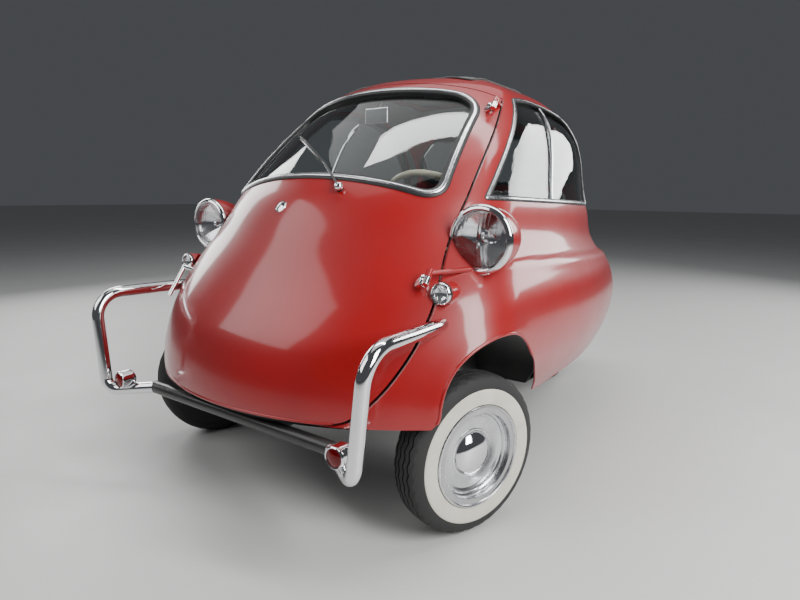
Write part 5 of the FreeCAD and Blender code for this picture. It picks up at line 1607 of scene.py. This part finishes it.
for y in barrelSpec["places"]:
    place = lidPlace(y - barrelSpec["half"], lid["height"] / 2 + barrelSpec["up"], barrelSpec["out"])
    axis = Matrix.Translation(place) @ lidTurn @ Matrix.Rotation(math.pi / 2, 4, "Z")
    barrels.append(lathe("barrel", barrelSpec["profile"], axis, "chromePlate", None, 24))
lidBarrels = joinPieces("lidBarrels", barrels, "engine_lid")

# blank number plate with a raised border
plateSpec = {"half": 112, "low": 519, "high": 601, "corner": 9, "depth": (1858.4, 1860.2), "border": 1.6,
             "borderIn": 2.4, "borderY": 1860.4}
plateOutline = roundedBox(plateSpec["half"], plateSpec["low"], plateSpec["high"], plateSpec["corner"])
numberPlate = prism("numberPlate", plateOutline, rearPlace, *plateSpec["depth"], "polishedAlloy")
plateBorder = sweep("plateBorder", [tuple(at(p.x, plateSpec["borderY"], p.y)) for p in plateOutline],
                    np.tile((0.0, 1.0, 0.0), (len(plateOutline), 1)), True,
                    circleSection(plateSpec["border"], plateSpec["borderIn"], -0.6, 8), "blackResin",
                    "car_body")
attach(numberPlate, "car_body")

# screws on the plate, under the headlamps and along the lid's hinges
lidScrewSpec = {"places": (-53, 53, -79, 79), "down": 16, "sink": 0.0005}
bodyPlaces = [facing(at(side * 84, 1860.2, 560), (0, 1, 0)) for side in (1, -1)] + lampScrews
lidPlaces = []
for y in lidScrewSpec["places"]:
    start = lidPlace(y, lid["height"] / 2 - lidScrewSpec["down"], 300)
    place, normal = rayOnto(start, lidTurn.to_3x3() @ Vector((-1, 0, 0)))
    lidPlaces.append(facing(place + normal * lidScrewSpec["sink"], normal, 0.4 * y))
bodyScrews = repeat("bodyScrews", screwHead, bodyPlaces, "chromePlate", "car_body", 1.2)
lidScrews = repeat("lidScrews", screwHead, lidPlaces, "chromePlate", "engine_lid")

# collars where the rear tubes leave the body
collarSpec = {"x": 330, "inside": 1600, "outside": 1870, "heights": (640, 440), "out": 0.004,
              "profile": [(-6, 19), (-6, 30), (0, 29.4), (3, 26), (4.4, 22.5), (8, 21.2), (9, 19.2),
                          (-6, 19)]}
collars = []
for side in (1, -1):
    for height in collarSpec["heights"]:
        inside = at(side * collarSpec["x"], collarSpec["inside"], height)
        outside = at(side * collarSpec["x"], collarSpec["outside"], height)
        along = (outside - inside).normalized()
        place, _ = rayOnto(outside, -along)
        turn = spindle(place + along * collarSpec["out"], along)
        collars.append(lathe("collar", collarSpec["profile"], turn, "chromePlate", None, 48))
tubeCollars = joinPieces("tubeCollars", collars, "car_body")
print("small parts ready")

# finishes of the CAD parts, by slot, and by name where a part differs from its slot
slotFinish = {
    "body_paint": "redPaint", "chrome": "chromePlate", "rim_paint": "rimPaint", "tyre": "tyreRubber",
    "window_glass": "windowGlass", "lamp_glass": "lensGlass", "red_lens": "redGlass",
    "rubber_seal": "sealRubber", "window_frame": "polishedAlloy", "black_fabric": "hoodCloth",
    "seat_cloth": "seatCloth", "frame_steel": "blackEnamel", "engine_metal": "castIron",
    "ivory": "ivoryResin",
}
nodeFinish = {"muffler": "sootySteel", "floor_pan": "floorMat", "parcel_shelf": "liningCloth",
              "wheel_housings": "blackEnamel", "dash_pod": "blackEnamel", "interior_mirror": "chromePlate",
              "body_hinge_arms": "redPaint", "wiper": "blackEnamel", "side_window_frames": "sealRubber"}
slotOf = {part["node"]: part["material_slot"] for part in frame["record"]["subparts"]}
for name, node in nodes.items():
    paint(node, nodeFinish.get(name, slotFinish[slotOf[name]]))

discard(doorSpace, screwHead, outerForm, innerForm, doorHole, doorTool, screenTool, rearTool, underTool,
        roofTool, lidHole, lidTool, *sideTools, *archTools)
